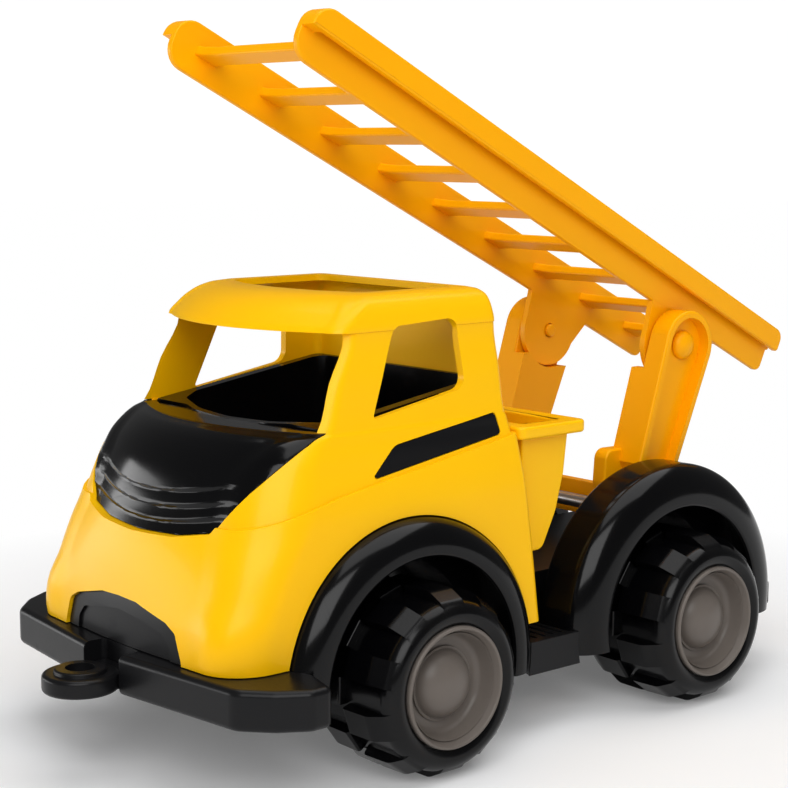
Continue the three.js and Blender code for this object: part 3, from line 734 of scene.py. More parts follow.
@dataclass(frozen=True)
class CabSkin:
    """The cab's outer surface, as plan sections stacked in z.

    Each section is its height, the y of its front corners, how far the front bows out between them, its half
    width, its front corners' radius and the y of its rear wall.
    """

    sections: tuple[tuple[float, ...], ...] = (
        (38.8, -71.6, 3.0, 58.3, 14, 57.0),
        (50, -71.2, 3.4, 58.2, 15, 55.6),
        (62, -68.6, 4.0, 57.8, 17, 54.4),
        (74, -65.0, 4.6, 57.2, 19, 53.2),
        (84, -61.2, 5.0, 56.6, 21, 52.2),
        (92, -58.4, 5.4, 55.6, 21, 51.4),
        (99, -55.0, 6.2, 54.4, 20, 50.6),
        (104, -50.8, 7.4, 53.6, 17, 50.0),
        (108, -45.4, 9.0, 52.8, 14, 49.2),
        (110.6, -39.8, 10.2, 52.4, 11, 48.6),
        (112, -34.4, 11.0, 52.0, 8, 48.0),
        (127, -27.0, 11.0, 50.3, 6, 47.0),
        (142.2, -19.5, 11.4, 48.6, 5, 46.0),
        (142.6, -24.2, 11.8, 49.0, 6, 46.0),
        (147, -20.4, 11.6, 48.2, 6, 45.6),
        (151, -15.8, 10.6, 46.4, 7, 45.0),
        (153.3, -11.2, 9.2, 43.6, 8, 43.2),
        (154, -7.6, 8.0, 40.8, 9, 40.8),
    )
    steps: int = 4
    rear_radius: float = 3.0
    lamp_swell: float = 1.5

    def _levels(self, extra: Sequence[float]) -> list[float]:
        """Heights of the rings, with extra ones where asked."""
        heights = [s[0] for s in self.sections]
        pairs = list(zip(heights, heights[1:]))
        levels = [a + (b - a) * k / self.steps for a, b in pairs for k in range(self.steps)]
        return sorted({*levels, heights[-1], *extra})

    def _swell(self, x: float, z: float) -> float:
        """How far the headlamp swellings stand out at a place on the nose."""
        across = math.exp(-(((abs(x) - 49) / 9) ** 4))
        upright = math.exp(-(((z - 51) / 9.5) ** 4))
        return self.lamp_swell * across * upright

    @staticmethod
    def _set_back(x: float, z: float, terraces: Sequence[tuple[float, float]]) -> float:
        """How far the hood's terraces set the nose back: a crisp step under each edge, easing out below."""
        fade = max(0.0, 1 - (abs(x) / 43) ** 6)
        total = 0.0
        for edge, depth in terraces:
            below = edge + 4.2 * (x / 36) ** 2 - z
            total += depth * min(1.0, max(0.0, below / 0.8)) * (1 - 0.5 * min(1.0, max(0.0, below / 4.2)))
        return total * fade

    def ring(self, z: float, section: Sequence[float], inset: float,
             terraces: Sequence[tuple[float, float]]) -> list[Point]:
        """One closed ring of the skin.

        Args:
            z: Height of the ring.
            section: The section's other numbers.
            inset: How far inside the outer surface it lies.
            terraces: (edge height, depth) of each terrace on the nose.

        Returns:
            The ring's points.
        """
        corner_y, bow, half_width, radius, rear_y = section
        width = half_width - inset
        front = corner_y + inset
        rear = rear_y - inset
        r = max(radius - inset, 1.2)
        flat = width - r
        half: list[tuple[float, float]] = []
        for k in range(13):
            x = flat * k / 12
            half.append((x, front - bow * (1 - (x / flat) ** 2)))
        half += [(x, y) for x, y in arc((flat, front + r), (r, r), -90, 0, 9)[1:]]
        half += [(width, front + r + (rear - 3 - front - r) * k / 4) for k in range(1, 4)]
        half += arc((width - self.rear_radius, rear - self.rear_radius), (self.rear_radius,) * 2, 0, 90, 5)
        half.append((width / 2, rear))
        half.append((0, rear))
        half = [
            (x, y + (self._set_back(x, z, terraces) - self._swell(x, z) if y < 0 else 0)) for x, y in half
        ]
        other = [(-x, y) for x, y in half[-2:0:-1]]
        return [(x, y, z) for x, y in [*half, *other]]

    def solid(self, inset: float, drop: float = 0.0, bottom: Optional[float] = None,
              terraces: Sequence[tuple[float, float]] = ()) -> Solid:
        """The solid inside the skin.

        Args:
            inset: How far inside the outer surface.
            drop: How far the rings are lowered.
            bottom: Height that the lowest ring is moved to.
            terraces: (edge height, depth) of each terrace on the nose.

        Returns:
            The closed solid.
        """
        heights = [s[0] for s in self.sections]
        curves = [Fairing(heights, [s[i] for s in self.sections]) for i in range(1, 6)]
        fine = [78 + 0.4 * k for k in range(60)] if terraces else []
        rings: list[list[Point]] = []
        for z in self._levels(fine):
            ring = self.ring(z, [curve.at(z) for curve in curves], inset, terraces)
            base = bottom if bottom is not None and not rings else z - drop
            rings.append([(x, y, base) for x, y, _ in ring])
        return stacked(rings)


SKIN = CabSkin()


# ---------------------------------------------------------------- sub-assemblies


@dataclass
class Mudguard:
    """One round mudguard: a wall beside the chassis and a rolled top with a turned-in lip."""

    y: float
    outer: float
    place: str
    inner_x: float = 34.0
    wall_x: float = 44.0
    roll_x: float = 57.0
    outer_x: float = 66.0
    lip: float = 42.0
    ledge: float = 38.5
    thick: float = 2.5
    bottom: float = 24.0

    def _roll(self, cut: float, start: float, end: float, steps: int) -> Outline:
        """Points on the rolled top, cut inside its outer face."""
        size = (self.outer_x - self.roll_x - cut, self.outer - self.lip - cut)
        return arc((self.roll_x, self.lip), size, start, end, steps)

    def envelope(self, grow: float) -> Solid:
        """A solid that fills the mudguard, for cutting its neighbours."""
        top = self._roll(-grow, 90, 0, 16)
        inner = self.inner_x - grow
        profile = [(inner, 0), (inner, self.outer + grow), *top, (self.outer_x + grow, 0)]
        return turned(profile, self.y, AXLE_HEIGHT, 96)

    def build(self) -> list[bpy.types.Object]:
        """Builds the left and right mudguards."""
        made = []
        for side in Side:
            outside = [
                (self.inner_x, 12), (self.inner_x, self.ledge), (self.wall_x, self.ledge),
                *arc((self.wall_x + 2.4, self.outer - 2.4), (2.4, 2.4), 180, 90, 5),
                *self._roll(0, 90, 0, 20),
            ]
            lip = arc((self.outer_x - 1.1, self.lip - 1.2), (1.1, 1.1), 0, -180, 8)
            inside = [
                *self._roll(self.thick, 20, 90, 12), (self.wall_x + self.thick, self.outer - self.thick),
                (self.wall_x + self.thick, self.ledge - self.thick),
                (self.inner_x + self.thick, self.ledge - self.thick),
                (self.inner_x + self.thick, 12),
            ]
            shell = turned([*outside, *lip, *inside], self.y, AXLE_HEIGHT, 128)
            shell.cut(block((0, self.y - 90, -80), (90, self.y + 90, self.bottom)))
            name = f"mudguard_{self.place}_{side.label}"
            made.append(shell.sided(side).finish(name, Body.TRUCK, Slot.GLOSS, [name], 0.5))
        return made


FRONT_GUARD = Mudguard(0.0, 51.6, "front")
REAR_GUARD = Mudguard(WHEELBASE, 54.6, "rear")


@dataclass
class Cab:
    """The yellow cab moulding with its windows, roof hatch and wheel arches, and the flash on each door."""

    wall: float = 2.6
    bulge: float = 1.2
    sill: float = 112.0
    visor: float = 142.3
    gap: float = 0.3
    arch: float = 52.0

    def hood_region(self, grow: float) -> Solid:
        """Everything that the hood insert covers, seen from the front."""
        g = grow
        edge = [
            (0, 79 - g), (20, 79.8 - g), (35 + g, 82.4 - g, 1.6), (41.5 + g, 91, 20), (46.5 + g, 98.4, 20),
            (49.6 + g, 104, 14), (50.9 + g, 109, 8), (50.9 + g, self.sill + g),
        ]
        return prism("y", rounded(mirrored_outline(edge), 5), -92, -29 + g)

    def grille_region(self, grow: float) -> Solid:
        """Everything that the grille insert covers, seen from the front."""
        g = grow
        edge = [
            (0, 57.8 + g), (10, 57.4 + g), (26 + g, 53.8 + g, 5), (31 + g, 51.5, 3), (34.2 + g, 43, 6),
            (34.5 + g, 30),
        ]
        return prism("y", rounded(mirrored_outline(edge), 5), -92, -60)

    def flash_outline(self, grow: float) -> Outline:
        """Outline of the flash on the door, in (y, z)."""
        g = grow
        corners = [
            (-14 - 2 * g, 96 - g, 0.8), (43.5 + g, 105 - g, 1.2), (41.6 + g, 112 + g, 1.2),
            (-3 - g, 105.6 + g, 7),
        ]
        return rounded(corners, 6)

    def _shell(self) -> Solid:
        """The moulding before its windows are cut."""
        belt = [
            (-92, 84), (-60, 84.3), (-45, 88.4), (-28, 92.3), (10, 98.3), (47, 104), (70, 107), (70, 20),
            (-92, 20),
        ]
        lower = SKIN.solid(-self.bulge).keep(prism("x", rounded(belt), -70, 70))
        outer = SKIN.solid(0).join(lower)
        return outer.cut(SKIN.solid(self.wall, 2.2, 20))

    def build(self) -> list[bpy.types.Object]:
        """Builds the moulding and both door flashes."""
        window = rounded([(-11, 114.6, 1), (0.6, 143.6, 3.5), (27.4, 145, 4.5), (29.4, 121.6, 4.5)])
        screen = rounded([
            (-49.5, self.sill), (49.5, self.sill), (46.2, self.visor, 1), (-46.2, self.visor, 1),
        ])
        hatch = rounded([
            (-36, 38, 5), (-36, -3, 6), (-20, -9.4, 20), (0, -11.6, 20), (20, -9.4, 20), (36, -3, 6),
            (36, 38, 5),
        ])
        shell = self._shell()
        shell.cut(self.hood_region(self.gap)).cut(self.grille_region(self.gap))
        shell.cut(prism("y", screen, -70, 20)).cut(prism("x", window, -70, 70))
        shell.cut(prism("z", hatch, 146, 170))
        shell.cut(rod(-70, 70, self.arch, 0, AXLE_HEIGHT, 160))
        shell.cut(block((-34.2, 46, 30), (34.2, 66, 52.4))).cut(block((-70, -90, 30), (70, -35, 41.8)))
        made = []
        for side in Side:
            band = SKIN.solid(-3).cut(SKIN.solid(1.25))
            pocket = band.keep(prism("x", self.flash_outline(self.gap), 40, 70)).sided(side)
            shell.cut(pocket)
            slice_ = SKIN.solid(0.1).cut(SKIN.solid(1.1))
            flash = slice_.keep(prism("x", self.flash_outline(0), 40, 60)).sided(side)
            name = f"side_trim_{side.label}"
            made.append(flash.finish(name, Body.TRUCK, Slot.MATTE, [name], 0.3))
        made.append(shell.finish("cab_shell", Body.TRUCK, Slot.BODY, ["cab_shell"], 0.7))
        return made


@dataclass
class HoodTub:
    """The black hood insert with its terraces, which carries on inside the cab as a tub."""

    floor: float = 86.0
    slope: float = 0.1556
    terraces: tuple[tuple[float, float], ...] = ((92.6, 1.0), (87.6, 1.0), (83.0, 0.9))

    def _mouth(self, grow: float, radius: float) -> Outline:
        """Plan of the tub's mouth, in (x, y)."""
        g = grow
        half = [
            (0, -30.8 - g, 30), (20, -28.6 - g, 30), (38 + g, -22 - g, 6), (43.4 + g, -14 - g, radius),
            (43 + g, 42 + g, radius),
        ]
        return rounded(mirrored_outline(half), 6)

    def build(self, cab: Cab) -> bpy.types.Object:
        """Builds the insert.

        Args:
            cab: The cab that it fits.

        Returns:
            The finished insert.
        """
        top = cab.sill - 0.2
        hood = SKIN.solid(0.1, terraces=self.terraces).cut(SKIN.solid(2.9, 2.4, 20)).keep(cab.hood_region(0))
        rear_plate = SKIN.solid(4).keep(self._under_rim(-27.5, 44.6, 2.4))
        front_plate = SKIN.solid(0.9).keep(block((-60, -80, top - 2.4), (60, 60, top)))
        front_plate.keep(cab.hood_region(-0.4))
        tub = prism("z", self._mouth(2, 6), self.floor, 130)
        tub.keep(self._under_rim(-60, 60, 60)).keep(SKIN.solid(4))
        body = hood.join(rear_plate).join(front_plate).join(tub)
        body.cut(prism("z", self._mouth(0, 5), self.floor + 2.2, 150))
        return body.finish("hood_tub", Body.TRUCK, Slot.GLOSS, ["hood_tub"], 1.0)

    def _under_rim(self, start: float, end: float, depth: float) -> Solid:
        """A slab of this depth under the tub's rim, which climbs towards the rear."""
        low, high = (116.75 + self.slope * y for y in (start, end))
        return prism("x", [(start, low - depth), (end, high - depth), (end, high), (start, low)], -60, 60)


@dataclass
class Grille:
    """The grille insert with its sunk panel."""

    def build(self, cab: Cab) -> bpy.types.Object:
        """Builds the insert to fit the cab."""
        slab = SKIN.solid(0.1).cut(SKIN.solid(3.0, 0, 20)).keep(cab.grille_region(0))
        panel = rounded([
            (-29, 30), (29, 30), (27, 46, 4), (23, 50, 3), (0, 53.6, 20), (-23, 50, 3), (-27, 46, 4),
        ])
        sunk = SKIN.solid(-3).cut(SKIN.solid(1)).keep(prism("y", panel, -92, -60))
        body = slab.cut(sunk).keep(block((-50, -90, 41.8), (50, -60, 70)))
        return body.finish("grille", Body.TRUCK, Slot.MATTE, ["grille"], 0.5)


@dataclass
class Bumpers:
    """The front bumper, its tow ring and the rear bar."""

    bottom: float = 28.5
    top: float = 41.5

    def _front(self) -> bpy.types.Object:
        """The front bumper."""
        half = [
            (11, -81.5, 3), (64.5, -75.5, 8), (74, -67, 8), (80, -57.5, 5), (80, -50, 3), (66, -46, 3),
            (50, -50), (50, -62.4),
        ]
        outline = rounded([*half, *[(-p[0], *p[1:]) for p in reversed(half)]])
        bar = prism("z", outline, self.bottom, self.top, 2.2)
        notch = rounded([(-10.6, -95), (10.6, -95), (10.6, -73.5, 2), (-10.6, -73.5, 2)])
        bar.cut(prism("z", notch, 0, 60))
        for side in Side:
            bar.cut(FRONT_GUARD.envelope(0.3).sided(side))
        return bar.finish("front_bumper", Body.TRUCK, Slot.MATTE, ["front_bumper"], 1.0)

    def _ring(self) -> bpy.types.Object:
        """The tow ring, with its collar and tongue."""
        middle = (0.0, -89.2)
        plate = prism("z", arc(middle, (12.3, 12.3), 0, 354, 59), 29.6, 35.6, 1.4)
        tongue = prism("z", [(-9, -89.2), (9, -89.2), (9, -73.9), (-9, -73.9)], 30.2, 35)
        rings = [arc(middle, (r, r), 0, 354, 59) for r in (8.7, 8.3, 7.7)]
        collar = stacked([[(*p, z) for p in ring] for ring, z in zip(rings, (35.0, 36.6, 37.0))])
        body = plate.join(tongue).join(collar)
        body.cut(prism("z", arc(middle, (4.8, 4.8), 0, 354, 59), 10, 50))
        return body.finish("tow_ring", Body.TRUCK, Slot.MATTE, ["tow_ring"], 0.5)

    def _rear(self) -> bpy.types.Object:
        """The rear bar."""
        half = [(54, 182.2, 2), (57.6, 185, 2), (50, 192, 5)]
        bar = prism("z", rounded([*half, *[(-p[0], *p[1:]) for p in reversed(half)]]), 22.5, 32.5, 1.6)
        bar.join(block((-22, 178.3, 23.5), (22, 186, 31.5)))
        return bar.finish("rear_bar", Body.TRUCK, Slot.MATTE, ["rear_bar"], 1.0)

    def build(self) -> list[bpy.types.Object]:
        """Builds all three pieces."""
        return [self._front(), self._ring(), self._rear()]


@dataclass
class Wheel:
    """One wheel: a fat tyre with staggered lugs, a dished hub and a domed cap."""

    side: Side
    place: str
    y: float
    tread: float = 30.7
    inner_x: float = 38.0
    outer_x: float = 80.0
    lugs: int = 10
    lug_width: float = 9.0

    @property
    def body(self) -> str:
        """The rigid body's name."""
        return f"wheel_{self.place}_{self.side.label}"

    def _lug(self, sign: int, turn: float) -> Solid:
        """One tread lug, turned by an angle in radians."""
        middle = (self.inner_x + self.outer_x) / 2
        low, high = -self.lug_width / 2, self.lug_width / 2
        shape = [(0.6, 25.6), (0.6, self.tread, 1), (12.6, self.tread - 0.2, 6), (18.4, 27.6, 4),
                 (20.9, 24.2, 1), (19, 22.6)]
        outline = [(sign * x, r) for x, r in rounded(shape, 5)]
        lug = prism("y", outline, low, high)
        spin = Matrix.Rotation(turn, 4, "X")
        return lug.moved(Matrix.Translation((middle, self.y, AXLE_HEIGHT)) @ spin)

    def _tyre(self) -> bpy.types.Object:
        """The tyre."""
        x0 = self.inner_x
        carcass = [
            (x0 + 1, 18.6), (77.3, 18.6), (77.3, 20.4), (79, 20.4), (79.6, 21.4),
            *arc((75, 23.0), (5.0, 4.8), 0, 90, 8), *arc((43, 23.0), (5.0, 4.8), 90, 180, 8),
            (x0 + 0.2, 20.5),
        ]
        tyre = turned(carcass, self.y, AXLE_HEIGHT, 120)
        for i in range(self.lugs):
            turn = 2 * math.pi * i / self.lugs
            tyre.join(self._lug(1, turn))
            tyre.join(self._lug(-1, turn + math.pi / self.lugs))
        name = f"tyre_{self.place}_{self.side.label}"
        return tyre.sided(self.side).finish(name, self.body, Slot.TYRE, [name], 0.9)

    def _hub(self) -> bpy.types.Object:
        """The hub, with a raised lip round its dish."""
        profile = [
            (44, 18.2), (77.6, 18.2), (77.7, 20), *arc((79.3, 19.3), (1.0, 0.75), 100, -60, 8),
            *arc((77.6, 15.4), (2.0, 2.2), 70, 100, 2)[::-1], (76.4, 17.0), (73.6, 16.5), (72.3, 15.4),
            (72, 14),
            (72, 2.5), (68.6, 2.5), (68.6, 16.2), (44, 16.2),
        ]
        name = f"hub_{self.place}_{self.side.label}"
        solid = turned(profile, self.y, AXLE_HEIGHT, 96)
        return solid.sided(self.side).finish(name, self.body, Slot.HUB, [name], 0.25)

    def _cap(self) -> bpy.types.Object:
        """The domed cap over the end of the axle."""
        dome = arc((71.6, 0), (7.2, 11.4), 82, 0, 14)
        profile = [(72.3, 0), (72.3, 12.2), (73.0, 12.2), *[(x, abs(r)) for x, r in dome[:-1]], (78.8, 0)]
        name = f"hub_cap_{self.place}_{self.side.label}"
        solid = turned(profile, self.y, AXLE_HEIGHT, 96)
        return solid.sided(self.side).finish(name, self.body, Slot.HUB, [name], 0.2)

    def build(self) -> list[bpy.types.Object]:
        """Builds the wheel's three pieces."""
        return [self._tyre(), self._hub(), self._cap()]


@dataclass
class Underbody:
    """The chassis with its axles, screws and running boards."""

    half_width: float = 33.7
    deck: float = 48.0
    bottom: float = 21.0
    foot: tuple[float, float] = (129.0, 64.0)
    screws: tuple[tuple[float, float], ...] = ((-18, -40), (18, -40), (-18, 66), (18, 66))

    def _chassis(self) -> bpy.types.Object:
        """The frame moulding with its ribs, ears and screw posts."""
        y, z = self.foot
        side = rounded([
            (-62, self.bottom, 3), (178, self.bottom, 3), (178, self.deck, 3), (72, self.deck, 3), (70, 60.7),
            (59, 60.7), (57.6, self.deck), (-50, self.deck, 4), (-62, 40, 3),
        ])
        body = prism("x", side, -self.half_width, self.half_width)
        for low, high in ((-54, -8), (8, 58), (74, 118), (133, 170)):
            pocket = rounded([(-30, low, 4), (30, low, 4), (30, high, 4), (-30, high, 4)])
            body.cut(prism("z", pocket, 10, self.deck - 3))
        for x in (-self.half_width, self.half_width):
            body.cut(block((x - 3, 80, 26), (x + 3, 112, 40)))
        ear = rounded([
            (y - 7.6, self.deck - 2), (y + 7.6, self.deck - 2), (y + 7, z + 7.5, 6), (y - 7, z + 7.5, 6),
        ])
        for side_ in Side:
            body.join(prism("x", ear, 20, 26.4).sided(side_))
        for axle_y in (0, WHEELBASE):
            body.cut(rod(-60, 60, 2.5, axle_y, AXLE_HEIGHT))
        body.cut(rod(-60, 60, 2.9, y, z))
        for screw_x, screw_y in self.screws:
            body.join(self._upright(6, screw_x, screw_y, 22.2, 46))
            body.cut(self._upright(3.6, screw_x, screw_y, 20.8, 25))
        return body.finish("chassis", Body.TRUCK, Slot.MATTE, ["chassis"], 0.6)

    def _upright(self, radius: float, x: float, y: float, low: float, high: float) -> Solid:
        """A round post standing up."""
        return prism("z", arc((x, y), (radius, radius), 0, 345, 23), low, high)

    def _axle(self, name: str, y: float) -> bpy.types.Object:
        """One steel axle with chamfered ends."""
        end = 71.6
        profile = [(-end, 0), (-end, 1.6), (-end + 0.6, 2.2), (end - 0.6, 2.2), (end, 1.6), (end, 0)]
        return turned(profile, y, AXLE_HEIGHT, 32).finish(name, Body.TRUCK, Slot.STEEL, [name], 0.15)

    def _screw(self, number: int, x: float, y: float) -> bpy.types.Object:
        """One cross-head screw."""
        head = self._upright(3.2, x, y, 22.75, 24.65)
        head.cut(block((x - 2.1, y - 0.5, 22), (x + 2.1, y + 0.5, 23.6)))
        head.cut(block((x - 0.5, y - 2.1, 22), (x + 0.5, y + 2.1, 23.6)))
        name = f"screw_{number}"
        return head.finish(name, Body.TRUCK, Slot.STEEL, [name], 0.2)

    def _board(self, side: Side) -> bpy.types.Object:
        """One running board with tread grooves."""
        plan = rounded([(34.3, 42), (62.5, 42, 3), (62.5, 82, 3), (34.3, 82)])
        board = prism("z", plan, 21.4, 33)
        board.cut(FRONT_GUARD.envelope(0.3)).cut(REAR_GUARD.envelope(0.3))
        for y in (56, 60, 64, 68):
            board.cut(block((40, y - 0.8, 32.3), (59, y + 0.8, 34)))
        name = f"running_board_{side.label}"
        return board.sided(side).finish(name, Body.TRUCK, Slot.MATTE, [name], 0.9)

    def build(self) -> list[bpy.types.Object]:
        """Builds every piece below the deck."""
        made = [self._chassis(), self._axle("axle_front", 0), self._axle("axle_rear", WHEELBASE)]
        made += [self._board(side) for side in Side]
        made += [self._screw(i + 1, x, y) for i, (x, y) in enumerate(self.screws)]
        return made


@dataclass
class RearBin:
    """The open bin behind the cab, with a flange round its rim."""

    bottom: float = 61.0
    rim: float = 106.0
    wall: float = 2.3

    def _profile(self, inset: float, top: float) -> Outline:
        """Side profile, in (y, z)."""
        g = inset
        corners = [
            (56.6 + g, self.bottom + g, 2), (67 - g * 0.5, self.bottom + g, 4), (73.6 - g, 74, 8),
            (77.2 - g, 87, 8),
            (79.6 - g, top), (56.6 + g, top),
        ]
        return rounded(corners)

    def build(self) -> bpy.types.Object:
        """Builds the bin."""
        shell = prism("x", self._profile(0, self.rim - 0.5), -50.4, 50.4)
        plan = rounded([(-54.6, 52, 3), (54.6, 52, 3), (54.6, 84.4, 3), (-54.6, 84.4, 3)])
        shell.join(prism("z", plan, self.rim - 4.5, self.rim, 1.1))
        shell.cut(prism("x", self._profile(self.wall, self.rim + 20), -48, 48))
        return shell.finish("rear_bin", Body.TRUCK, Slot.BODY, ["rear_bin"], 0.8)


@dataclass
class Yoke:
    """The tilting yoke: two channel arms, shin plates, a rear brace and the pins."""

    pivot: tuple[float, float] = (151.0, 126.0)
    foot: tuple[float, float] = (129.0, 64.0)
    lean: float = 20.5
    inner_x: float = 34.3
    outer_x: float = 43.6
    deep_x: float = 29.0
    top_radius: float = 13.2
    foot_half: float = 10.4
    drop: float = 52.0
    channel: float = 4.4
    swing: float = 15.0
    shin: tuple[float, float] = (27.0, 33.5)

    def along(self, distance: float, across: float) -> tuple[float, float]:
        """A place on the arm: distance down from the pivot and across towards the rear."""
        a = math.radians(self.lean)
        return (
            self.pivot[0] - distance * math.sin(a) + across * math.cos(a),
            self.pivot[1] - distance * math.cos(a) - across * math.sin(a),
        )

    def _arm_outline(self, inset: float) -> Outline:
        """Outline of the arm, cut inside its edge."""
        top = self.top_radius - inset
        half = self.foot_half - inset
        points = [self.along(-top * math.cos(a), top * math.sin(a))
                  for a in (math.radians(-90 + 7.5 * k) for k in range(25))]
        end = self.drop - inset
        points += [self.along(end - 3, half), self.along(end, half - 3), self.along(end, 3 - half),
                   self.along(end - 3, -half)]
        return points

    def _half(self) -> Solid:
        """The left arm with its shin plate and the inner part that stops short of the ladder's lug."""
        y, z = self.foot
        arm = prism("x", self._arm_outline(0), self.inner_x, self.outer_x, 1.0)
        arm.cut(prism("x", self._arm_outline(2.7), self.outer_x - self.channel, self.outer_x + 5))
        shin = prism("x", rounded([
            (y - 9, z - 8, 6), (y + 14, z - 8, 4), (y + 17, 80, 6), (y + 15, 88, 4), (y - 12, 88.5, 4),
            (y - 13, 76, 6),
        ]), *self.shin, 0.9)
        deep = prism("x", self._arm_outline(0), self.deep_x, self.inner_x + 1)
        deep.cut(rod(20, self.inner_x, self.swing, *self.pivot, 96))
        deep.cut(block((20, self.pivot[0] + 2, self.pivot[1] - 15), (self.inner_x, 200, 200)))
        deep.keep(block((20, 80, 0), (60, 200, self.pivot[1] - 8)))
        return arm.join(shin).join(deep)

    def _pin(self, side: Side) -> bpy.types.Object:
        """The pin that the ladder swings on, with its domed head in the arm's channel."""
        face = self.outer_x - self.channel + 0.3
        dome = [(x, abs(r)) for x, r in arc((face + 0.4, 0), (3.2, 5.4), 90, 0, 10)[:-1]]
        profile = [(29.6, 0), (29.6, 2.0), (30.2, 2.6), (face, 2.6), (face, 5.4), *dome, (face + 3.6, 0)]
        name = f"pivot_pin_{side.label}"
        pin = turned(profile, *self.pivot, 64).sided(side)
        return pin.finish(name, Body.YOKE, Slot.LADDER, [name], 0.1)

    def build(self) -> list[bpy.types.Object]:
        """Builds the yoke and its pins."""
        y, z = self.foot
        half_width = self.shin[1]
        brace = prism("y", rounded([
            (-half_width, 56.6, 2), (half_width, 56.6, 2), (half_width, 69.6), (-half_width, 69.6),
        ]), y + 9.4, y + 13.4)
        body = self._half().join(self._half().sided(Side.RIGHT)).join(brace)
        body.cut(rod(-60, 60, 2.9, y, z)).cut(rod(-60, 60, 2.9, *self.pivot))
        yoke = body.finish("yoke", Body.YOKE, Slot.LADDER, ["yoke"], 0.9)
        pin = rod(-half_width, half_width, 2.6, y, z)
        pin = pin.finish("yoke_pin", Body.TRUCK, Slot.STEEL, ["yoke_pin"], 0.3)
        return [yoke, pin, *[self._pin(side) for side in Side]]


@dataclass
class Ladder:
    """The ladder: two flanged rails with swing lugs, and flat rungs with flared ends."""

    rise: float = 26.8
    inner_x: float = 31.0
    web_x: float = 33.4
    flange_x: float = 38.6
    half_depth: float = 9.0
    front: float = -199.5
    rear: float = 66.0
    pivot: tuple[float, float] = (9.9, -19.6)
    rungs: int = 9
    pitch: float = 29.9
    first: float = -184.6
    rung_depth: float = 7.6
    rung_thick: float = 3.4
    lug: float = 14.2
    flare: float = 0.0005

    def _rail(self) -> Solid:
        """The left rail, drawn along the ladder."""
        half = self.half_depth
        web = prism("x", rounded([
            (self.front, -half, 7.5), (self.rear - 1, -half, 3), (self.rear - 1, half, 3),
            (self.front, half, 7.5),
        ]), self.inner_x, self.web_x, 0.6)
        head = prism("x", rounded([
            (self.front, 0.6), (self.rear, 0.6, 1.4), (self.rear, half, 4), (self.front, half, 7.5),
        ]), self.inner_x, self.flange_x, 0.9)
        head.cut(prism("x", rounded([
            (self.front + 3, -20), (self.rear + 3, -20), (self.rear + 3, half - 2.2),
            (self.front + 6, half - 2.2),
        ]), self.web_x, self.flange_x - 2.1))
        swing = arc(self.pivot, (self.lug, self.lug), 180, 360, 28)
        swing += [(self.pivot[0] + 19, -half + 2), (self.pivot[0] - 17, -half + 2)]
        return web.join(head).join(prism("x", swing, self.inner_x, self.web_x))

    def _rung(self, s: float) -> Solid:
        """One rung at a place along the rails."""
        x, d = self.inner_x, self.rung_depth / 2
        half = [(0, s - d), (x - 8, s - d, 12), (x - 3, s - d - 0.5, 5), (x + 1, s - d - 1.6),
                (x + 1, s + d + 1.6), (x - 3, s + d + 0.5, 5), (x - 8, s + d, 12), (0, s + d)]
        outline = rounded(half[1:-1] + [(-p[0], *p[1:]) for p in reversed(half[1:-1])], 4)
        return prism("z", outline, -self.rung_thick / 2, self.rung_thick / 2, 0.7)

    def build(self, yoke: Yoke) -> bpy.types.Object:
        """Builds the ladder on the yoke's pivot."""
        body = self._rail().join(self._rail().sided(Side.RIGHT))
        for i in range(self.rungs):
            body.join(self._rung(self.first + i * self.pitch))
        body.cut(rod(-60, 60, 2.9, *self.pivot))
        for vertex in body.thing.data.vertices:
            vertex.co.x *= 1 + self.flare * max(self.pivot[0] - 16 - vertex.co.y, 0.0)
        swing = Matrix.Rotation(-math.radians(self.rise), 4, "X")
        onto_pivot = Matrix.Translation((0, -self.pivot[0], -self.pivot[1]))
        place = Matrix.Translation((0, *yoke.pivot)) @ swing @ onto_pivot
        return body.moved(place).finish("ladder", Body.LADDER, Slot.LADDER, ["ladder"], 0.7)


# ---------------------------------------------------------------- studio


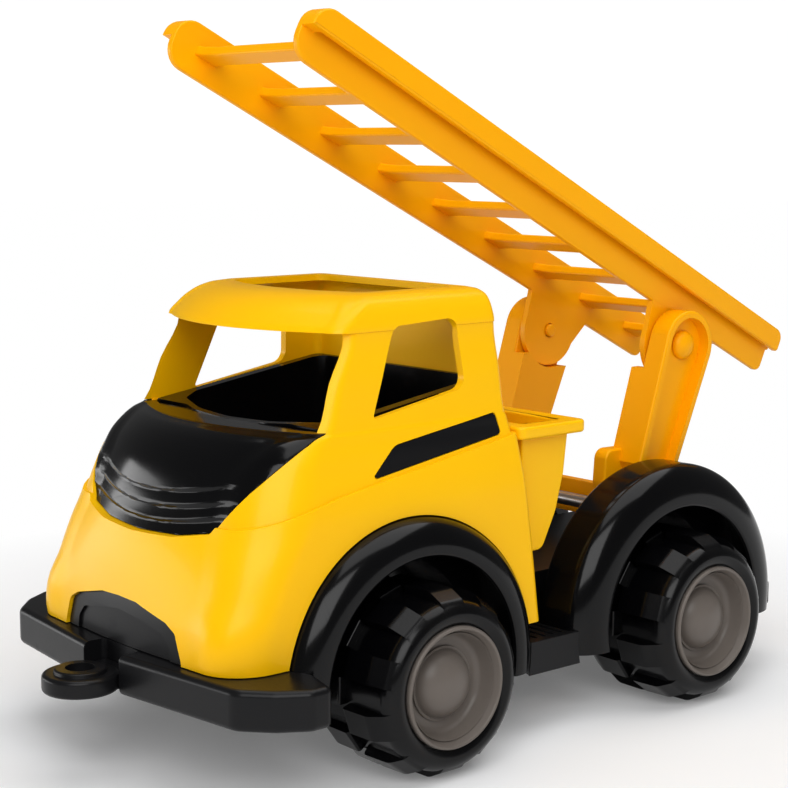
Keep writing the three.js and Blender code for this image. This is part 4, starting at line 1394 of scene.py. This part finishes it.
@dataclass
class Studio:
    """Pale floor, white backdrop, soft lights and the camera."""

    camera_at: Point = (495.65, -378.6, 203.0)
    azimuth: float = 49.71
    elevation: float = 7.898
    lens: float = 83.75

    def _sheet(self, name: str, size: float, where: Point, turn: Point,
               material: bpy.types.Material) -> bpy.types.Object:
        """A flat staged square."""
        h = size / 2
        mesh = bpy.data.meshes.new(name)
        mesh.from_pydata([(-h, -h, 0), (h, -h, 0), (h, h, 0), (-h, h, 0)], [], [(0, 1, 2, 3)])
        thing = bpy.data.objects.new(name, mesh)
        thing.location = where
        thing.rotation_euler = Euler([math.radians(a) for a in turn])
        bpy.context.scene.collection.objects.link(thing)
        mesh.materials.append(material)
        return thing

    def _light(self, name: str, where: Point, size: tuple[float, float], watts: float, tint: Colour) -> None:
        """A soft rectangular light aimed at the middle of the truck."""
        lamp = bpy.data.lights.new(name, "AREA")
        lamp.shape = "RECTANGLE"
        lamp.size, lamp.size_y = size
        lamp.energy = watts
        lamp.color = tint
        thing = bpy.data.objects.new(name, lamp)
        thing.location = where
        aim = Vector((0, 0, 0.09)) - Vector(where)
        thing.rotation_euler = aim.to_track_quat("-Z", "Y").to_euler()
        bpy.context.scene.collection.objects.link(thing)

    def _camera(self) -> None:
        """The camera."""
        lens = bpy.data.cameras.new("camera")
        lens.lens = self.lens
        lens.sensor_width = 36.0
        lens.clip_start = 0.01
        thing = bpy.data.objects.new("camera", lens)
        thing.location = in_frame(*self.camera_at)
        thing.rotation_euler = Euler((math.radians(90 - self.elevation), 0, math.radians(self.azimuth)))
        bpy.context.scene.collection.objects.link(thing)
        bpy.context.scene.camera = thing

    def build(self) -> None:
        """Sets the studio up."""
        self._sheet("floor", 12.0, (0, 0, 0), (0, 0, 0), StudioFloor().build())
        paper = Shader("backdrop_paper")
        paper.set(Base_Color=(0.0, 0.0, 0.0, 1.0), Emission_Color=(1.0, 1.0, 1.0, 1.0), Emission_Strength=1.0)
        for turn in (self.azimuth, self.azimuth + 90, self.azimuth + 180, self.azimuth + 270):
            a = math.radians(turn)
            where = (-5.5 * math.sin(a), 5.5 * math.cos(a), 3.0)
            sheet = self._sheet(f"backdrop_{turn:.0f}", 12.0, where, (90, 0, turn), paper.material)
            for ray in ("diffuse", "glossy", "transmission", "volume_scatter", "shadow"):
                setattr(sheet, f"visible_{ray}", False)
        world = bpy.data.worlds.new("studio")
        world.use_nodes = True
        world.node_tree.nodes["Background"].inputs["Color"].default_value = (1.0, 1.0, 1.0, 1.0)
        world.node_tree.nodes["Background"].inputs["Strength"].default_value = 0.14
        bpy.context.scene.world = world
        self._light("key", (1.0, -0.85, 0.95), (1.3, 1.0), 16.0, (1.0, 1.0, 1.0))
        self._light("fill", (-1.15, -1.0, 0.22), (1.3, 0.4), 6.5, (1.0, 1.0, 1.0))
        self._light("top", (0.1, 0.2, 1.3), (1.4, 1.4), 13.5, (1.0, 1.0, 1.0))
        view = bpy.context.scene.view_settings
        view.view_transform = "Standard"
        view.look = "None"
        view.gamma = 0.9
        self._camera()


def main() -> None:
    """Builds the truck, dresses it and sets up the studio."""
    cab = Cab()
    yoke = Yoke()
    cab.build()
    HoodTub().build(cab)
    Grille().build(cab)
    Bumpers().build()
    FRONT_GUARD.build()
    REAR_GUARD.build()
    Underbody().build()
    RearBin().build()
    yoke.build()
    Ladder().build(yoke)
    for place, y in (("front", 0.0), ("rear", WHEELBASE)):
        for side in Side:
            Wheel(side, place, y).build()
    Studio().build()


if __name__ == "__main__":
    main()
